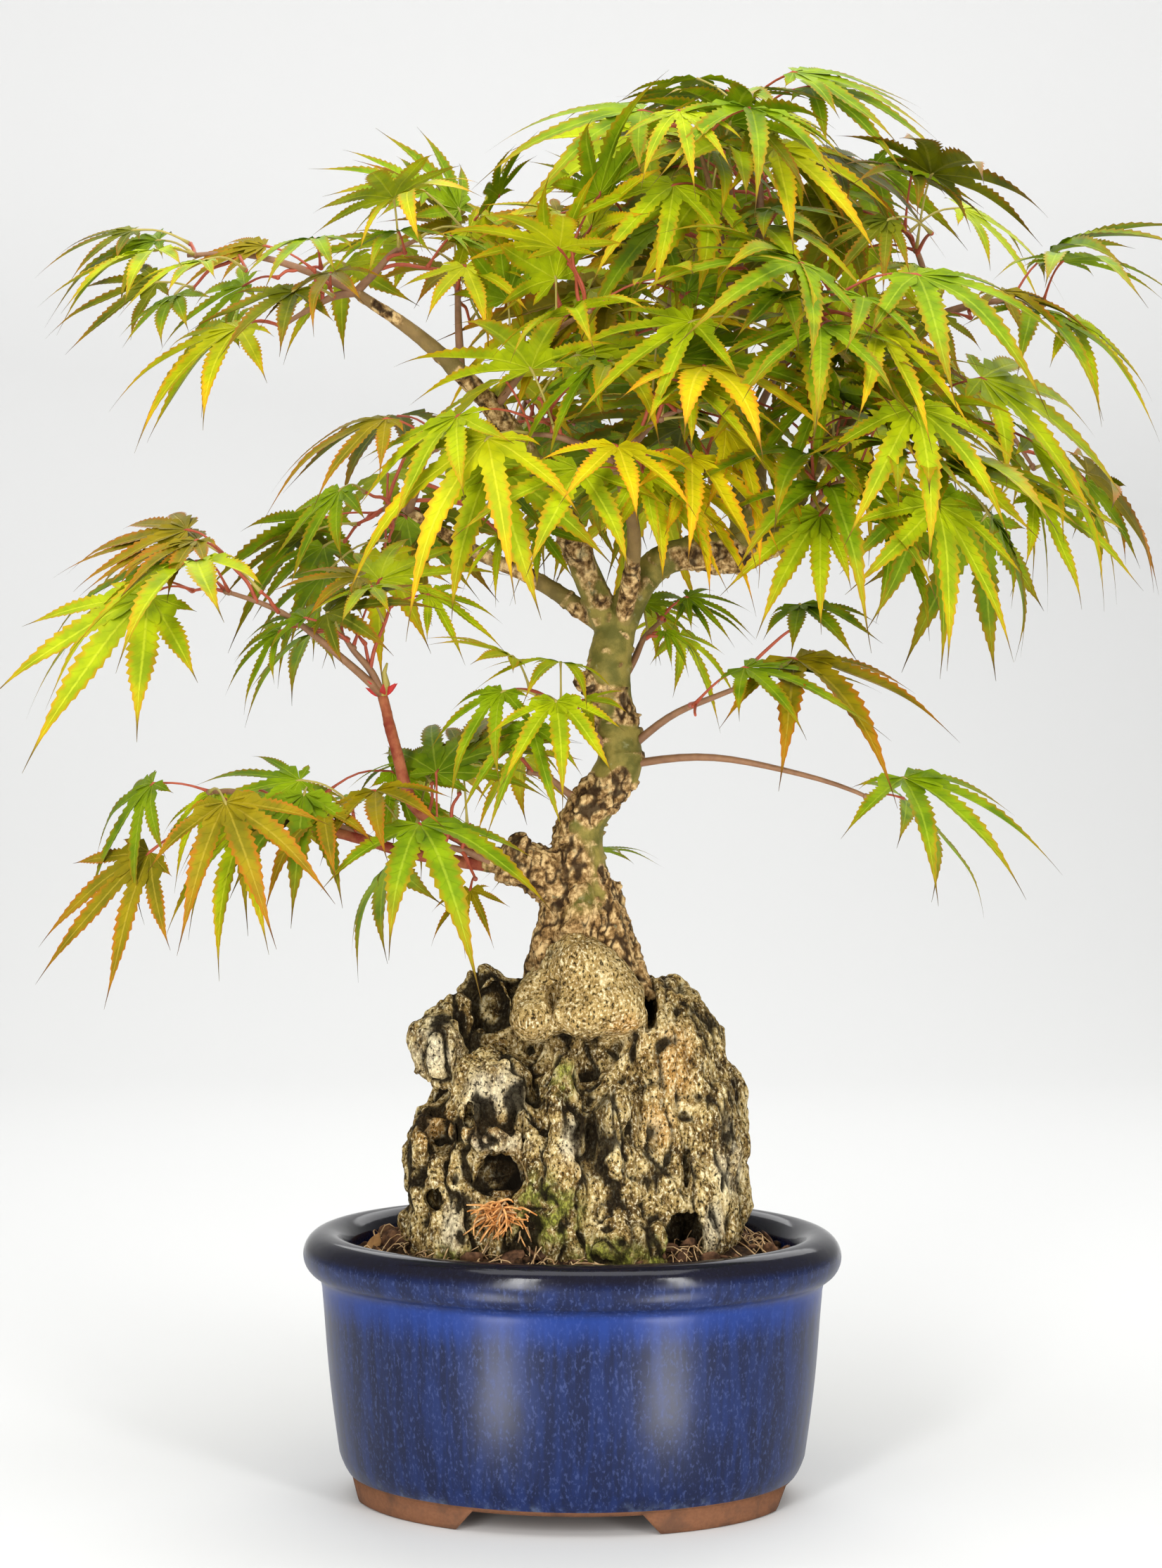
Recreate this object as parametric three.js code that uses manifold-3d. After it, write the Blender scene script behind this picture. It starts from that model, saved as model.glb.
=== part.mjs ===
// A Japanese maple bonsai that grows on a craggy rock in an oval glazed pot.
// Millimetres, +Z up. The pot's long axis is X and its front is -Y. The tree, the rock and the
// leaves are set out in a frame of their own, turned a little about Z against the pot.
import * as THREE from "three";
import { mergeVertices } from "three/addons/utils/BufferGeometryUtils.js";
import Module from "manifold-3d";

const wasm = await Module();
wasm.setup();

// Driving dimensions of the pot
const potWidth = 160;
const potDepth = 122;
const potHeight = 79;
const rimRoll = 7;
const footHeight = 6;
const footWidth = 131;
const footThickness = 9;
const floorTop = 13;
const innerWidth = 134;
const pinholeDiameter = 2.5;
const ovalSides = 32;
const footGapWidth = 54;
const sideFootGapWidth = 30;
const footGapSlant = 2.5;
const neckInset = 5.6;
const wallDraft = 5;
const shoulderDrop = 2.6 * rimRoll;

// Driving dimensions of what stands in it
const plantTurn = THREE.MathUtils.degToRad(5);
const clearance = 0.3;
const soilEdge = 69;
const soilCrown = 77;
const rockFoot = 62;
const rockFacet = 9.3;
const rockEvenness = 0.65;
const meltWidth = 5;
const ridgeDepth = 1.7;
const rockRoom = { min: [-60, -48, 50], max: [62, 44, 176] };
const leafThickness = 1.6;
const petioleRadius = 0.5;
const stemRadius = 1.2;
const stemArch = 0.32;
const pairSpacing = 0.3;
const pairTurn = 1.3;
const stalkLength = 0.3;
const spread = { left: -168, right: 181, deep: 110, top: 425 };

// The plant stands so that the middle of its whole spread is over the origin.
const standing = new THREE.Vector3(-8.5, -1, 0);

const ovalRatio = potDepth / potWidth;
const group = new THREE.Group();
group.position.copy(standing);

// Small helpers

function vector([x, y, z]) {
  return new THREE.Vector3(x, y, z);
}

// A repeatable source of numbers from 0 to 1.
function seeded(seed) {
  let state = seed * 7919 + 17;
  return () => {
    state = (state * 48271) % 2147483647;
    return state / 2147483647;
  };
}

// A closed three.js geometry as a solid that can be joined and cut.
function toSolid(geometry) {
  const bare = geometry.clone();
  bare.deleteAttribute("normal");
  bare.deleteAttribute("uv");
  const merged = mergeVertices(bare, 1e-4);
  const index = merged.index.array;
  const corners = [];
  for (let i = 0; i < index.length; i += 3) {
    const [a, b, c] = [index[i], index[i + 1], index[i + 2]];
    if (a !== b && b !== c && c !== a) corners.push(a, b, c);
  }
  const make = (triVerts) =>
    new wasm.Manifold(
      new wasm.Mesh({
        numProp: 3,
        vertProperties: Float32Array.from(merged.attributes.position.array),
        triVerts: Uint32Array.from(triVerts),
      }),
    );
  const solid = make(corners);
  if (solid.volume() > 0) return solid;
  return make(corners.reverse());
}

function toGeometry(solid) {
  const mesh = solid.getMesh();
  const geometry = new THREE.BufferGeometry();
  const spots = Float32Array.from(mesh.vertProperties);
  geometry.setAttribute("position", new THREE.BufferAttribute(spots, 3));
  geometry.setIndex(new THREE.BufferAttribute(Uint32Array.from(mesh.triVerts), 1));
  geometry.computeVertexNormals();
  return geometry;
}

function add(name, solid, finish) {
  const mesh = new THREE.Mesh(toGeometry(solid), new THREE.MeshStandardMaterial(finish));
  mesh.name = name;
  group.add(mesh);
}

function largest(solid) {
  const pieces = solid.decompose();
  return pieces.reduce((best, piece) => (piece.volume() > best.volume() ? piece : best));
}

// The pot: one wall from the floor up over a rolled rim and down to the foot

// Turns a profile of [half width, height] about Z and narrows it to the pot's oval.
function ovalTurned(profile, sides) {
  const points = profile.map(([half, z]) => new THREE.Vector2(half, z));
  const geometry = new THREE.LatheGeometry(points, sides);
  geometry.rotateX(Math.PI / 2);
  geometry.scale(1, ovalRatio, 1);
  return toSolid(geometry);
}

function rolledRim() {
  const crest = potWidth / 2 - rimRoll;
  const middle = potHeight - rimRoll;
  const start = THREE.MathUtils.degToRad(170);
  const end = THREE.MathUtils.degToRad(-65);
  const steps = 6;
  return Array.from({ length: steps + 1 }, (_, i) => {
    const turn = start + ((end - start) * i) / steps;
    return [crest + rimRoll * Math.cos(turn), middle + rimRoll * Math.sin(turn)];
  });
}

function pot() {
  const inner = innerWidth / 2;
  const neck = potWidth / 2 - neckInset;
  const shoulder = potHeight - shoulderDrop;
  const wall = ovalTurned(
    [
      [0, floorTop],
      [inner - 8, floorTop],
      [inner - 3, floorTop + 4],
      [inner - 0.5, shoulder],
      ...rolledRim(),
      [neck, shoulder + 1.5],
      [neck - 0.6, shoulder - 6],
      [neck - wallDraft, floorTop],
      [neck - wallDraft - 1.6, footHeight + 3],
      [neck - wallDraft - 4, footHeight],
      [0, footHeight],
    ],
    ovalSides,
  );
  const outer = footWidth / 2;
  const foot = ovalTurned(
    [
      [outer - footThickness, 0],
      [outer - 0.6, 0],
      [outer, 1.5],
      [outer + 0.6, footHeight + 1],
      [outer - footThickness, footHeight + 1],
      [outer - footThickness, 0],
    ],
    ovalSides,
  );
  const frontGap = footGap(footGapWidth, potDepth * 1.2);
  const sideGap = footGap(sideFootGapWidth, potWidth * 1.2);
  sideGap.rotateZ(Math.PI / 2);
  const feet = foot.subtract(toSolid(frontGap)).subtract(toSolid(sideGap));
  const pinhole = new THREE.CylinderGeometry(pinholeDiameter / 2, pinholeDiameter / 2, 5, 10);
  pinhole.translate(-5.3, -potDepth / 2 + 5.5, 20);
  return wall.add(feet).subtract(toSolid(pinhole));
}

// The arch between two feet: a long bar with slanted ends, open below.
function footGap(width, length) {
  const arch = new THREE.Shape();
  const low = width / 2 + footGapSlant;
  const high = width / 2 - footGapSlant;
  arch.moveTo(-low, -2);
  arch.lineTo(low, -2);
  arch.lineTo(high, footHeight);
  arch.lineTo(-high, footHeight);
  arch.closePath();
  const bar = new THREE.ExtrudeGeometry(arch, { depth: length, bevelEnabled: false });
  bar.translate(0, 0, -length / 2);
  bar.rotateX(Math.PI / 2);
  return bar;
}

// The rock: rounded lumps melted into one skin that wanders in upright ridges, less its hollows

const rockLumps = {
  body: { at: [3, 0, 93], size: [46, 36, 40] },
  leftFlank: { at: [-31, 0, 101], size: [17, 23, 22] },
  leftLobe: { at: [-38, -4, 134], size: [9.5, 14, 11] },
  leftPeak: { at: [-25, 6, 139], size: [8, 12, 18] },
  leftShoulder: { at: [-32, 1, 143], size: [8, 10, 8] },
  bridge: { at: [-23, -14, 126], size: [13, 13, 8] },
  bridgeKnobLeft: { at: [-27, -23, 120], size: [5.5, 6, 6.5] },
  bridgeKnobRight: { at: [-17, -25, 122], size: [6, 6, 6] },
  rightShoulder: { at: [26, 2, 121], size: [21, 26, 33] },
  rightRidge: { at: [41, -15, 108], size: [7.5, 9, 18] },
  rightFlank: { at: [46, 3, 108], size: [6.5, 14, 19] },
  boulder: { at: [4, -12, 153], size: [13, 12, 15], calm: true },
  boulderFoot: { at: [7, -14, 147], size: [14.5, 12.5, 8.5], calm: true },
  saddle: { at: [-16, 4, 142], size: [9, 9, 10] },
  column: { at: [3, 3, 142], size: [17, 18, 25] },
  leftNeck: { at: [-11, -14, 146], size: [6.5, 9, 10.5], calm: true },
  slitRib: { at: [-3.5, -25, 123], size: [4.5, 7, 13] },
  middleRib: { at: [0, -31, 112], size: [5.5, 6, 9] },
  rightRib: { at: [12, -30, 112], size: [5.5, 6.5, 15] },
  mossyBulge: { at: [-6, -33, 95], size: [9.5, 7, 13] },
  rightFoot: { at: [35, -6, 88], size: [16, 25, 25] },
  footRib: { at: [41, -22, 83], size: [4, 7, 10] },
  leftFoot: { at: [-33, -6, 82], size: [16, 24, 26] },
  leftKnob: { at: [-43, -10, 107], size: [6, 9, 9.5] },
  lowLeftKnob: { at: [-43, -12, 93], size: [6, 8, 6] },
  leftRib: { at: [-34, -25, 83], size: [5, 6, 12] },
  frontFoot: { at: [2, -24, 80], size: [34, 14, 20] },
  frontHump: { at: [14, -35, 79], size: [13, 7.5, 9] },
  brow: { at: [-22, -28, 110], size: [10, 7, 4] },
};

const rockHollows = {
  nook: { at: [-23.5, -15, 147], size: [7, 16, 10] },
  slit: { at: [-10.5, -31, 126], size: [2.6, 13, 8.5] },
  narrowSlit: { at: [3.5, -31, 128.5], size: [2, 11, 7] },
  cave: { at: [-21.5, -38, 100.5], size: [9.5, 17, 8] },
  hole: { at: [-38.5, -22, 110], size: [3.8, 10, 6.5] },
  lowHole: { at: [-39.5, -23, 92], size: [3.2, 8, 4] },
  footCave: { at: [32.5, -31, 81], size: [6.5, 12, 9] },
  cleft: { at: [22.5, -15, 150], size: [3.2, 14, 10] },
  fold: { at: [20, -31, 122], size: [2.2, 9, 14] },
  notch: { at: [-49, -4, 123.5], size: [9, 18, 3.2] },
  underBoulder: { at: [9, -31, 134], size: [8, 9, 5.5] },
};

// A ball pulled out to three radii.
function lump([x, y, z], [rx, ry, rz], detail) {
  const geometry = new THREE.IcosahedronGeometry(1, detail);
  geometry.scale(rx, ry, rz).translate(x, y, z);
  return toSolid(geometry);
}

// About how far a point lies outside a lump. It is negative inside.
function gapTo([px, py, pz], { at: [x, y, z], size: [rx, ry, rz] }) {
  const [u, v, w] = [(px - x) / rx, (py - y) / ry, (pz - z) / rz];
  const share = Math.hypot(u, v, w);
  if (share < 0.01) return -Math.min(rx, ry, rz);
  return (share * (share - 1)) / Math.hypot(u / rx, v / ry, w / rz);
}

// Upright ridges broken by uneven ledges, from -1 to 1.
function ridges([x, y, z]) {
  const acrossX = Math.sin(0.42 * x + 1.3 * Math.sin(0.09 * z + 0.11 * y));
  const acrossY = Math.sin(0.4 * y + 1.1 * Math.sin(0.08 * z + 0.1 * x + 1));
  const ledges = Math.sin(0.33 * z + 1.2 * Math.sin(0.21 * x + 0.5) + 0.9 * Math.sin(0.19 * y));
  return 0.65 * acrossX * acrossY + 0.35 * ledges;
}

// About how far a point lies outside the skin of the melted lumps.
function rockGap(p) {
  let gap = 100;
  let calm = 0;
  for (const part of Object.values(rockLumps)) {
    const own = gapTo(p, part);
    const blend = Math.max(meltWidth - Math.abs(gap - own), 0) / meltWidth;
    gap = Math.min(gap, own) - (blend * blend * meltWidth) / 4;
    if (part.calm) calm = Math.max(calm, 1 - THREE.MathUtils.smoothstep(own, 0, meltWidth));
  }
  return gap - ridgeDepth * ridges(p) * (1 - calm);
}

const rockSkin = wasm.Manifold.levelSet(
  (p) => -rockGap(p),
  rockRoom,
  rockFacet,
).simplify(rockEvenness);

// grow moves the rock's skin out evenly by that much, for what has to stay clear of it.
function rock(grow = 0) {
  const skin = toGeometry(rockSkin);
  const { position, normal } = skin.attributes;
  for (let i = 0; i < position.count; i += 1) {
    const out = new THREE.Vector3().fromBufferAttribute(normal, i);
    const p = new THREE.Vector3().fromBufferAttribute(position, i).addScaledVector(out, grow);
    position.setXYZ(i, p.x, p.y, p.z);
  }
  const hollows = Object.values(rockHollows).map(({ at, size }) =>
    lump(at, size.map((half) => half - grow), 1),
  );
  const below = new THREE.BoxGeometry(200, 200, 100);
  below.translate(0, 0, rockFoot - grow - 50);
  const whole = toSolid(skin).subtract(wasm.Manifold.union(hollows));
  return largest(whole.subtract(toSolid(below))).simplify(0.06);
}

// The soil fills the pot to a little below its rim and rises in a low mound to the rock.
function soil() {
  const inner = innerWidth / 2 - clearance;
  const mound = ovalTurned(
    [
      [0, floorTop + clearance],
      [inner - 8, floorTop + clearance],
      [inner - 3, floorTop + 4 + clearance],
      [inner - 0.9, potHeight - shoulderDrop],
      [inner - 1.2, soilEdge - 2],
      [inner - 2.5, soilEdge],
      [inner * 0.8, soilEdge + 3],
      [inner * 0.6, soilCrown],
      [0, soilCrown + 1],
    ],
    ovalSides,
  );
  const pocket = toGeometry(rock(clearance)).rotateZ(plantTurn);
  return largest(mound.subtract(toSolid(pocket)));
}

// The limbs: each is one tapering tube along a smooth curve

function limb({ path, radii, sides = 6, steps = 6 }, grow = 0) {
  const curve = new THREE.CatmullRomCurve3(path.map(vector), false, "catmullrom", 0.5);
  const frames = curve.computeFrenetFrames(steps);
  const geometry = new THREE.CylinderGeometry(1, 1, 1, sides, steps);
  const position = geometry.attributes.position;
  for (let i = 0; i < position.count; i += 1) {
    const along = 0.5 + position.getY(i);
    const ring = Math.round(along * steps);
    const place = along * (radii.length - 1);
    const low = Math.min(Math.floor(place), radii.length - 2);
    const radius = THREE.MathUtils.lerp(radii[low], radii[low + 1], place - low) + grow;
    const p = curve.getPointAt(along);
    if (ring === steps) p.addScaledVector(frames.tangents[ring], grow);
    p.addScaledVector(frames.normals[ring], position.getX(i) * radius);
    p.addScaledVector(frames.binormals[ring], position.getZ(i) * radius);
    position.setXYZ(i, p.x, p.y, p.z);
  }
  return toSolid(geometry);
}

const trunk = {
  path: [
    [5, 1, 156], [4, 0, 171], [2, 0, 184], [3, 0, 200],
    [14, 0, 217], [12, 0, 232], [11, 0, 246], [14, 0, 261],
  ],
  radii: [15.5, 12.6, 8.4, 6.7, 6.9, 6.2, 6.6, 5.6],
  sides: 10,
  steps: 12,
};

const boughs = {
  right_bough: {
    path: [[13, 0, 256], [21, -2, 272], [31, -2, 279], [47, 0, 280], [63, 0, 285]],
    radii: [5.2, 4.8, 4.6, 6.8, 4.6],
  },
  leader: {
    path: [[50, 0, 280], [51, 5, 310], [50, 8, 342], [56, 6, 374]],
    radii: [3.8, 2.8, 1.5],
  },
  right_upper_bough: {
    path: [[60, 0, 283], [72, -6, 306], [90, -10, 330], [106, -10, 348]],
    radii: [3.2, 1.4],
  },
  back_bough: {
    path: [[55, 2, 283], [57, 26, 306], [64, 48, 326]],
    radii: [3, 1.4],
  },
  left_bough: {
    path: [[12, 0, 256], [5, -4, 272], [-3, -9, 290], [-20, -13, 318], [-42, -16, 340], [-62, -18, 354]],
    radii: [4.6, 3.4, 1.5],
  },
  left_middle_bough: {
    path: [[10, 2, 258], [-9, 6, 271], [-30, 8, 281], [-48, 4, 292]],
    radii: [3, 1.4],
  },
  back_left_bough: {
    path: [[11, 3, 258], [-2, 22, 288], [-18, 42, 314]],
    radii: [3, 1.4],
  },
  front_bough: {
    path: [[15, -2, 258], [18, -22, 284], [12, -42, 304]],
    radii: [2.8, 1.3],
  },
  burr_bough: {
    path: [[1, 0, 178], [-9, -2, 186], [-21, -4, 189]],
    radii: [8.4, 7.4, 6],
    sides: 8,
  },
  reaching_twig: {
    path: [[-20, -4, 190], [-34, -8, 197], [-46, -12, 206], [-51, -14, 222], [-55, -14, 238]],
    radii: [2.3, 1.5],
  },
  low_twig: {
    path: [[-20, -4, 187], [-45, -8, 191], [-62, -11, 196], [-82, -14, 201]],
    radii: [2, 1.3],
  },
};

// The leaves: palms of long pointed lobes that hang from thin stalks

const leafLobes = [
  { turn: -84, reach: 0.62, plain: true },
  { turn: -42, reach: 0.88, half: 0.08 },
  { turn: 0, reach: 1, half: 0.085 },
  { turn: 42, reach: 0.88, half: 0.08 },
  { turn: 84, reach: 0.62, plain: true },
];
const sinusReach = 0.2;
const lobeShoulder = 0.46;

// One leaf as a thin closed solid, sharp at its rim and thickest along its ribs.
function leafSolid({ base, axis, normal, length, droop }, grow = 0) {
  const side = new THREE.Vector3().crossVectors(normal, axis);
  const spots = [];
  const faces = [];
  const place = (turn, reach, lift) => {
    const angle = THREE.MathUtils.degToRad(turn);
    const out = reach * length;
    const p = base.clone();
    p.addScaledVector(axis, out * Math.cos(angle));
    p.addScaledVector(side, out * Math.sin(angle));
    p.addScaledVector(normal, lift - droop * length * reach * reach);
    spots.push(p);
    return spots.length - 1;
  };
  const thick = leafThickness / 2 + grow;
  const wide = grow / length;
  const heart = [place(0, 0, thick), place(0, 0, -thick)];
  const sinuses = leafLobes.map(({ turn }, i) => {
    const before = leafLobes[(i + leafLobes.length - 1) % leafLobes.length].turn;
    return i === 0 ? place(180, 0.06 + wide, 0) : place((before + turn) / 2, sinusReach + wide, 0);
  });
  leafLobes.forEach(({ turn, reach, half, plain }, i) => {
    const [start, end] = [sinuses[i], sinuses[(i + 1) % sinuses.length]];
    const tip = place(turn, reach + wide, 0);
    const out = reach * lobeShoulder;
    const rib = [place(turn, out, thick * 0.8), place(turn, out, -thick * 0.8)];
    const rim = [start, tip, end];
    if (!plain) {
      const flare = THREE.MathUtils.radToDeg((half + wide) / out);
      rim.splice(1, 1, place(turn - flare, out, 0), tip, place(turn + flare, out, 0));
    }
    for (let k = 0; k < rim.length - 1; k += 1) {
      faces.push([rim[k], rim[k + 1], rib[0]], [rim[k + 1], rim[k], rib[1]]);
    }
    faces.push([heart[0], start, rib[0]], [end, heart[0], rib[0]]);
    faces.push([start, heart[1], rib[1]], [heart[1], end, rib[1]]);
  });
  const geometry = new THREE.BufferGeometry();
  geometry.setAttribute("position", new THREE.Float32BufferAttribute(spots.flatMap((p) => p.toArray()), 3));
  geometry.setIndex(faces.flat());
  return toSolid(geometry);
}

// A three-sided twig through its points, thinner towards its end.
function twigSolid(points, rootRadius, tipRadius) {
  const steps = points.length - 1;
  const curve = new THREE.CurvePath();
  for (let i = 0; i < steps; i += 1) curve.add(new THREE.LineCurve3(points[i], points[i + 1]));
  const geometry = new THREE.CylinderGeometry(1, 1, 1, 3, steps);
  const position = geometry.attributes.position;
  const whole = new THREE.Vector3().subVectors(points[steps], points[0]).normalize();
  const helper = Math.abs(whole.z) < 0.9 ? new THREE.Vector3(0, 0, 1) : new THREE.Vector3(1, 0, 0);
  const across = new THREE.Vector3().crossVectors(whole, helper).normalize();
  const over = new THREE.Vector3().crossVectors(across, whole);
  for (let i = 0; i < position.count; i += 1) {
    const along = 0.5 + position.getY(i);
    const p = points[Math.round(along * steps)].clone();
    const radius = THREE.MathUtils.lerp(rootRadius, tipRadius, along);
    p.addScaledVector(across, position.getX(i) * radius);
    p.addScaledVector(over, position.getZ(i) * radius);
    position.setXYZ(i, p.x, p.y, p.z);
  }
  return toSolid(geometry);
}

// Each mass of leaves: from is its seat on a limb, heart is where its stem ends, hang is the way
// its leaves lean, size is the length of their middle lobes.
const masses = {
  crown_top: {
    from: [56, 6, 374], heart: [53, -3, 407], leaves: 6, size: 46, hang: [0.6, 0.3, -0.5], seed: 178,
  },
  crown_top_left: {
    from: [51, 7, 352], heart: [45, -13, 389], leaves: 2, size: 52, hang: [-0.1, -0.2, -0.6], seed: 132,
  },
  crown_back: {
    from: [53, 7, 362], heart: [66, 56, 390], leaves: 4, size: 59, hang: [-0.5, 0.5, -0.6], seed: 58,
  },
  top_right: {
    from: [106, -10, 348], heart: [99, 5, 374], leaves: 4, size: 50, hang: [0.2, -0.1, -0.6], seed: 137,
  },
  right_upper: {
    from: [106, -10, 348], heart: [136, -23, 350], leaves: 4, size: 45, hang: [0.1, -0.7, -0.1], seed: 22,
  },
  right_back: {
    from: [64, 48, 326], heart: [85, 72, 336], leaves: 4, size: 48, hang: [0.2, 0.1, -0.7], seed: 154,
  },
  right_middle: {
    from: [84, -9, 322], heart: [102, -35, 313], leaves: 5, size: 56, hang: [0.5, 0.2, -1], seed: 150,
  },
  right_low: {
    from: [66, 0, 286], heart: [78, -24, 300], leaves: 4, size: 64, hang: [-0, -0.9, -0.2], seed: 90,
  },
  centre_front: {
    from: [51, 5, 312], heart: [74, -50, 350], leaves: 5, size: 58, hang: [0, -0.6, -0.6], seed: 178,
  },
  front: {
    from: [12, -42, 304], heart: [31, -42, 319], leaves: 5, size: 54, hang: [0.5, -0.5, -0.9], seed: 145,
  },
  front_low: {
    from: [12, -42, 304], heart: [-12, -40, 312], leaves: 3, size: 57, hang: [0, -0.8, -1.1], seed: 146,
  },
  upper_front: {
    from: [50, 8, 340], heart: [35, -42, 394], leaves: 6, size: 51, hang: [-0.3, -0.3, -0.3], seed: 54,
  },
  left_centre: {
    from: [-22, -13, 321], heart: [5, -47, 346], leaves: 4, size: 49, hang: [-0.3, -1.1, 0.3], seed: 112,
  },
  top_left: {
    from: [-32, -14, 331], heart: [-35, 22, 367], leaves: 3, size: 35, hang: [-0.6, 0, 0.1], seed: 47,
  },
  left_upper_front: {
    from: [-62, -18, 354], heart: [-44, -21, 369], leaves: 3, size: 45, hang: [-0.2, -0.9, -0.8], seed: 129,
  },
  left_upper: {
    from: [-62, -18, 354], heart: [-111, -14, 365], leaves: 2, size: 48, hang: [-1, -1.2, -0.6], seed: 12,
  },
  left_upper_low: {
    from: [-62, -18, 354], heart: [-84, -15, 344], leaves: 2, size: 51, hang: [-1.3, -0.3, -0.9], seed: 132,
  },
  left_middle: {
    from: [-48, 4, 292], heart: [-38, -39, 308], leaves: 2, size: 48, hang: [-0.9, 0.1, -1], seed: 162,
  },
  left_middle_low: {
    from: [-48, 4, 292], heart: [-59, 27, 292], leaves: 4, size: 47, hang: [-0.2, 0.6, -1], seed: 131,
  },
  left_outer: {
    from: [-55, -14, 238], heart: [-99, -33, 268], leaves: 2, size: 56, hang: [-1.3, -0.6, -0.9], seed: 126,
  },
  left_inner: {
    from: [-55, -14, 238], heart: [-67, -18, 256], leaves: 4, size: 40, hang: [0.3, 0.9, -0.4], seed: 157,
  },
  low_left_outer: {
    from: [-82, -14, 201], heart: [-103, -41, 211], leaves: 2, size: 44, hang: [0.1, -0.5, -1.3], seed: 1,
  },
  low_left_middle: {
    from: [-58, -10, 195], heart: [-83, -13, 202], leaves: 2, size: 50, hang: [-0.3, 0.1, -1.3], seed: 55,
  },
  lower_left: {
    from: [-22, -4, 187], heart: [-48, -15, 195], leaves: 4, size: 48, hang: [0.6, 0.7, -0.5], seed: 167,
  },
  inner_left: {
    from: [10, -2, 222], heart: [-10, -35, 238], leaves: 4, size: 32, hang: [-0.1, -0.6, -1], seed: 152,
  },
  inner_low: {
    from: [3, -2, 206], heart: [-13, 1, 215], leaves: 1, size: 31, hang: [-0, -0.2, -1], seed: 81,
  },
  left_back: {
    from: [-18, 42, 314], heart: [-42, 38, 317], leaves: 1, size: 61, hang: [-0.3, 0.6, -0.2], seed: 19,
  },
  back: {
    from: [-18, 42, 314], heart: [-12, 67, 332], leaves: 4, size: 64, hang: [0.3, 0.3, -0.9], seed: 134,
  },
  back_low: {
    from: [56, 4, 286], heart: [30, 45, 311], leaves: 5, size: 55, hang: [-0.3, 0.4, -0.7], seed: 125,
  },
  right_low_leaf: {
    from: [17, -1, 222], heart: [57, -5, 242], leaves: 1, size: 63, hang: [0.8, -0.6, -1.1], seed: 53,
  },
  right_hanging_leaf: {
    from: [16, 0, 217], heart: [87, -26, 208], leaves: 2, size: 55, hang: [0.8, 0.8, -1], seed: 61,
  },
  inner_right: {
    from: [14, -2, 240], heart: [27, 10, 260], leaves: 4, size: 27, hang: [0.5, 0.1, -0.9], seed: 39,
  },
  behind_trunk: {
    from: [2, 4, 182], heart: [2, 25, 186], leaves: 2, size: 21, hang: [0.1, -0.3, 0], seed: 54,
  },
  middle: {
    from: [50, 7, 324], heart: [28, 16, 354], leaves: 3, size: 57, hang: [-0.3, -0.1, -0.4], seed: 168,
  },
  far_right: {
    from: [98, -10, 340], heart: [141, 34, 306], leaves: 2, size: 48, hang: [-0.1, -1.1, -1.2], seed: 198,
  },
};

const upward = new THREE.Vector3(0, 0, 1);

// The stem and the leaves of a mass, as numbers: pairs of stalks stand opposite each other
// along the stem, each pair turned a quarter against the last, and each stalk ends in a leaf.
function grow({ from, heart, leaves, size, hang, seed }) {
  const random = seeded(seed);
  const [root, end, lean] = [vector(from), vector(heart), vector(hang).normalize()];
  const run = new THREE.Vector3().subVectors(end, root);
  const reach = run.length();
  const ahead = run.clone().normalize();
  const stemAt = (t) => {
    const arch = reach * stemArch * t * (1 - t);
    return root.clone().addScaledVector(run, t).addScaledVector(upward, arch);
  };
  const stem = [0, 0.34, 0.67, 1].map(stemAt);
  const sideways = new THREE.Vector3().crossVectors(ahead, upward);
  if (sideways.length() < 0.2) sideways.set(1, 0, 0);
  sideways.normalize();
  const over = new THREE.Vector3().crossVectors(sideways, ahead);
  const grown = [];
  for (let k = 0; k < leaves; k += 1) {
    const pair = Math.floor(k / 2);
    const hand = k % 2 === 0 ? 1 : -1;
    const jitter = Array.from({ length: 7 }, random);
    const turn = pair * pairTurn + 0.35 + 0.9 * (jitter[0] - 0.5);
    const seat = stemAt(1 - pairSpacing * pair - 0.05 * jitter[1]);
    const stalk = sideways.clone().multiplyScalar(Math.cos(turn) * hand);
    stalk.addScaledVector(over, Math.sin(turn) * hand * 0.6);
    stalk.addScaledVector(ahead, 0.5).addScaledVector(lean, 0.35).addScaledVector(upward, 0.3);
    stalk.normalize();
    const base = seat.clone().addScaledVector(stalk, size * (stalkLength + 0.25 * jitter[2]));
    const stray = new THREE.Vector3(jitter[3] - 0.5, jitter[4] - 0.5, -0.3);
    const axis = stalk.clone().addScaledVector(lean, 0.7).addScaledVector(stray, 0.6).normalize();
    const facing = new THREE.Vector3(0.2 * Math.sign(base.x - 10), base.y > 14 ? 0.4 : -0.45, 0.85);
    facing.addScaledVector(new THREE.Vector3(jitter[5] - 0.5, 0, jitter[6] - 0.5), 0.5);
    const normal = facing.addScaledVector(axis, -facing.dot(axis)).normalize();
    const length = size * (0.8 + 0.3 * jitter[5]);
    grown.push({ seat, base, axis, normal, length, droop: 0.28 + 0.25 * jitter[6] });
  }
  return { stem, grown };
}

// True for a leaf whose lobes all end inside the plant's whole spread.
function insideSpread({ base, axis, normal, length, droop }) {
  const side = new THREE.Vector3().crossVectors(normal, axis);
  return leafLobes.every(({ turn, reach }) => {
    const angle = THREE.MathUtils.degToRad(turn);
    const tip = base.clone().addScaledVector(axis, reach * length * Math.cos(angle));
    tip.addScaledVector(side, reach * length * Math.sin(angle));
    tip.addScaledVector(normal, -droop * length * reach * reach);
    const level = tip.x > spread.left && tip.x < spread.right && Math.abs(tip.y) < spread.deep;
    return level && tip.z < spread.top;
  });
}

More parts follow.
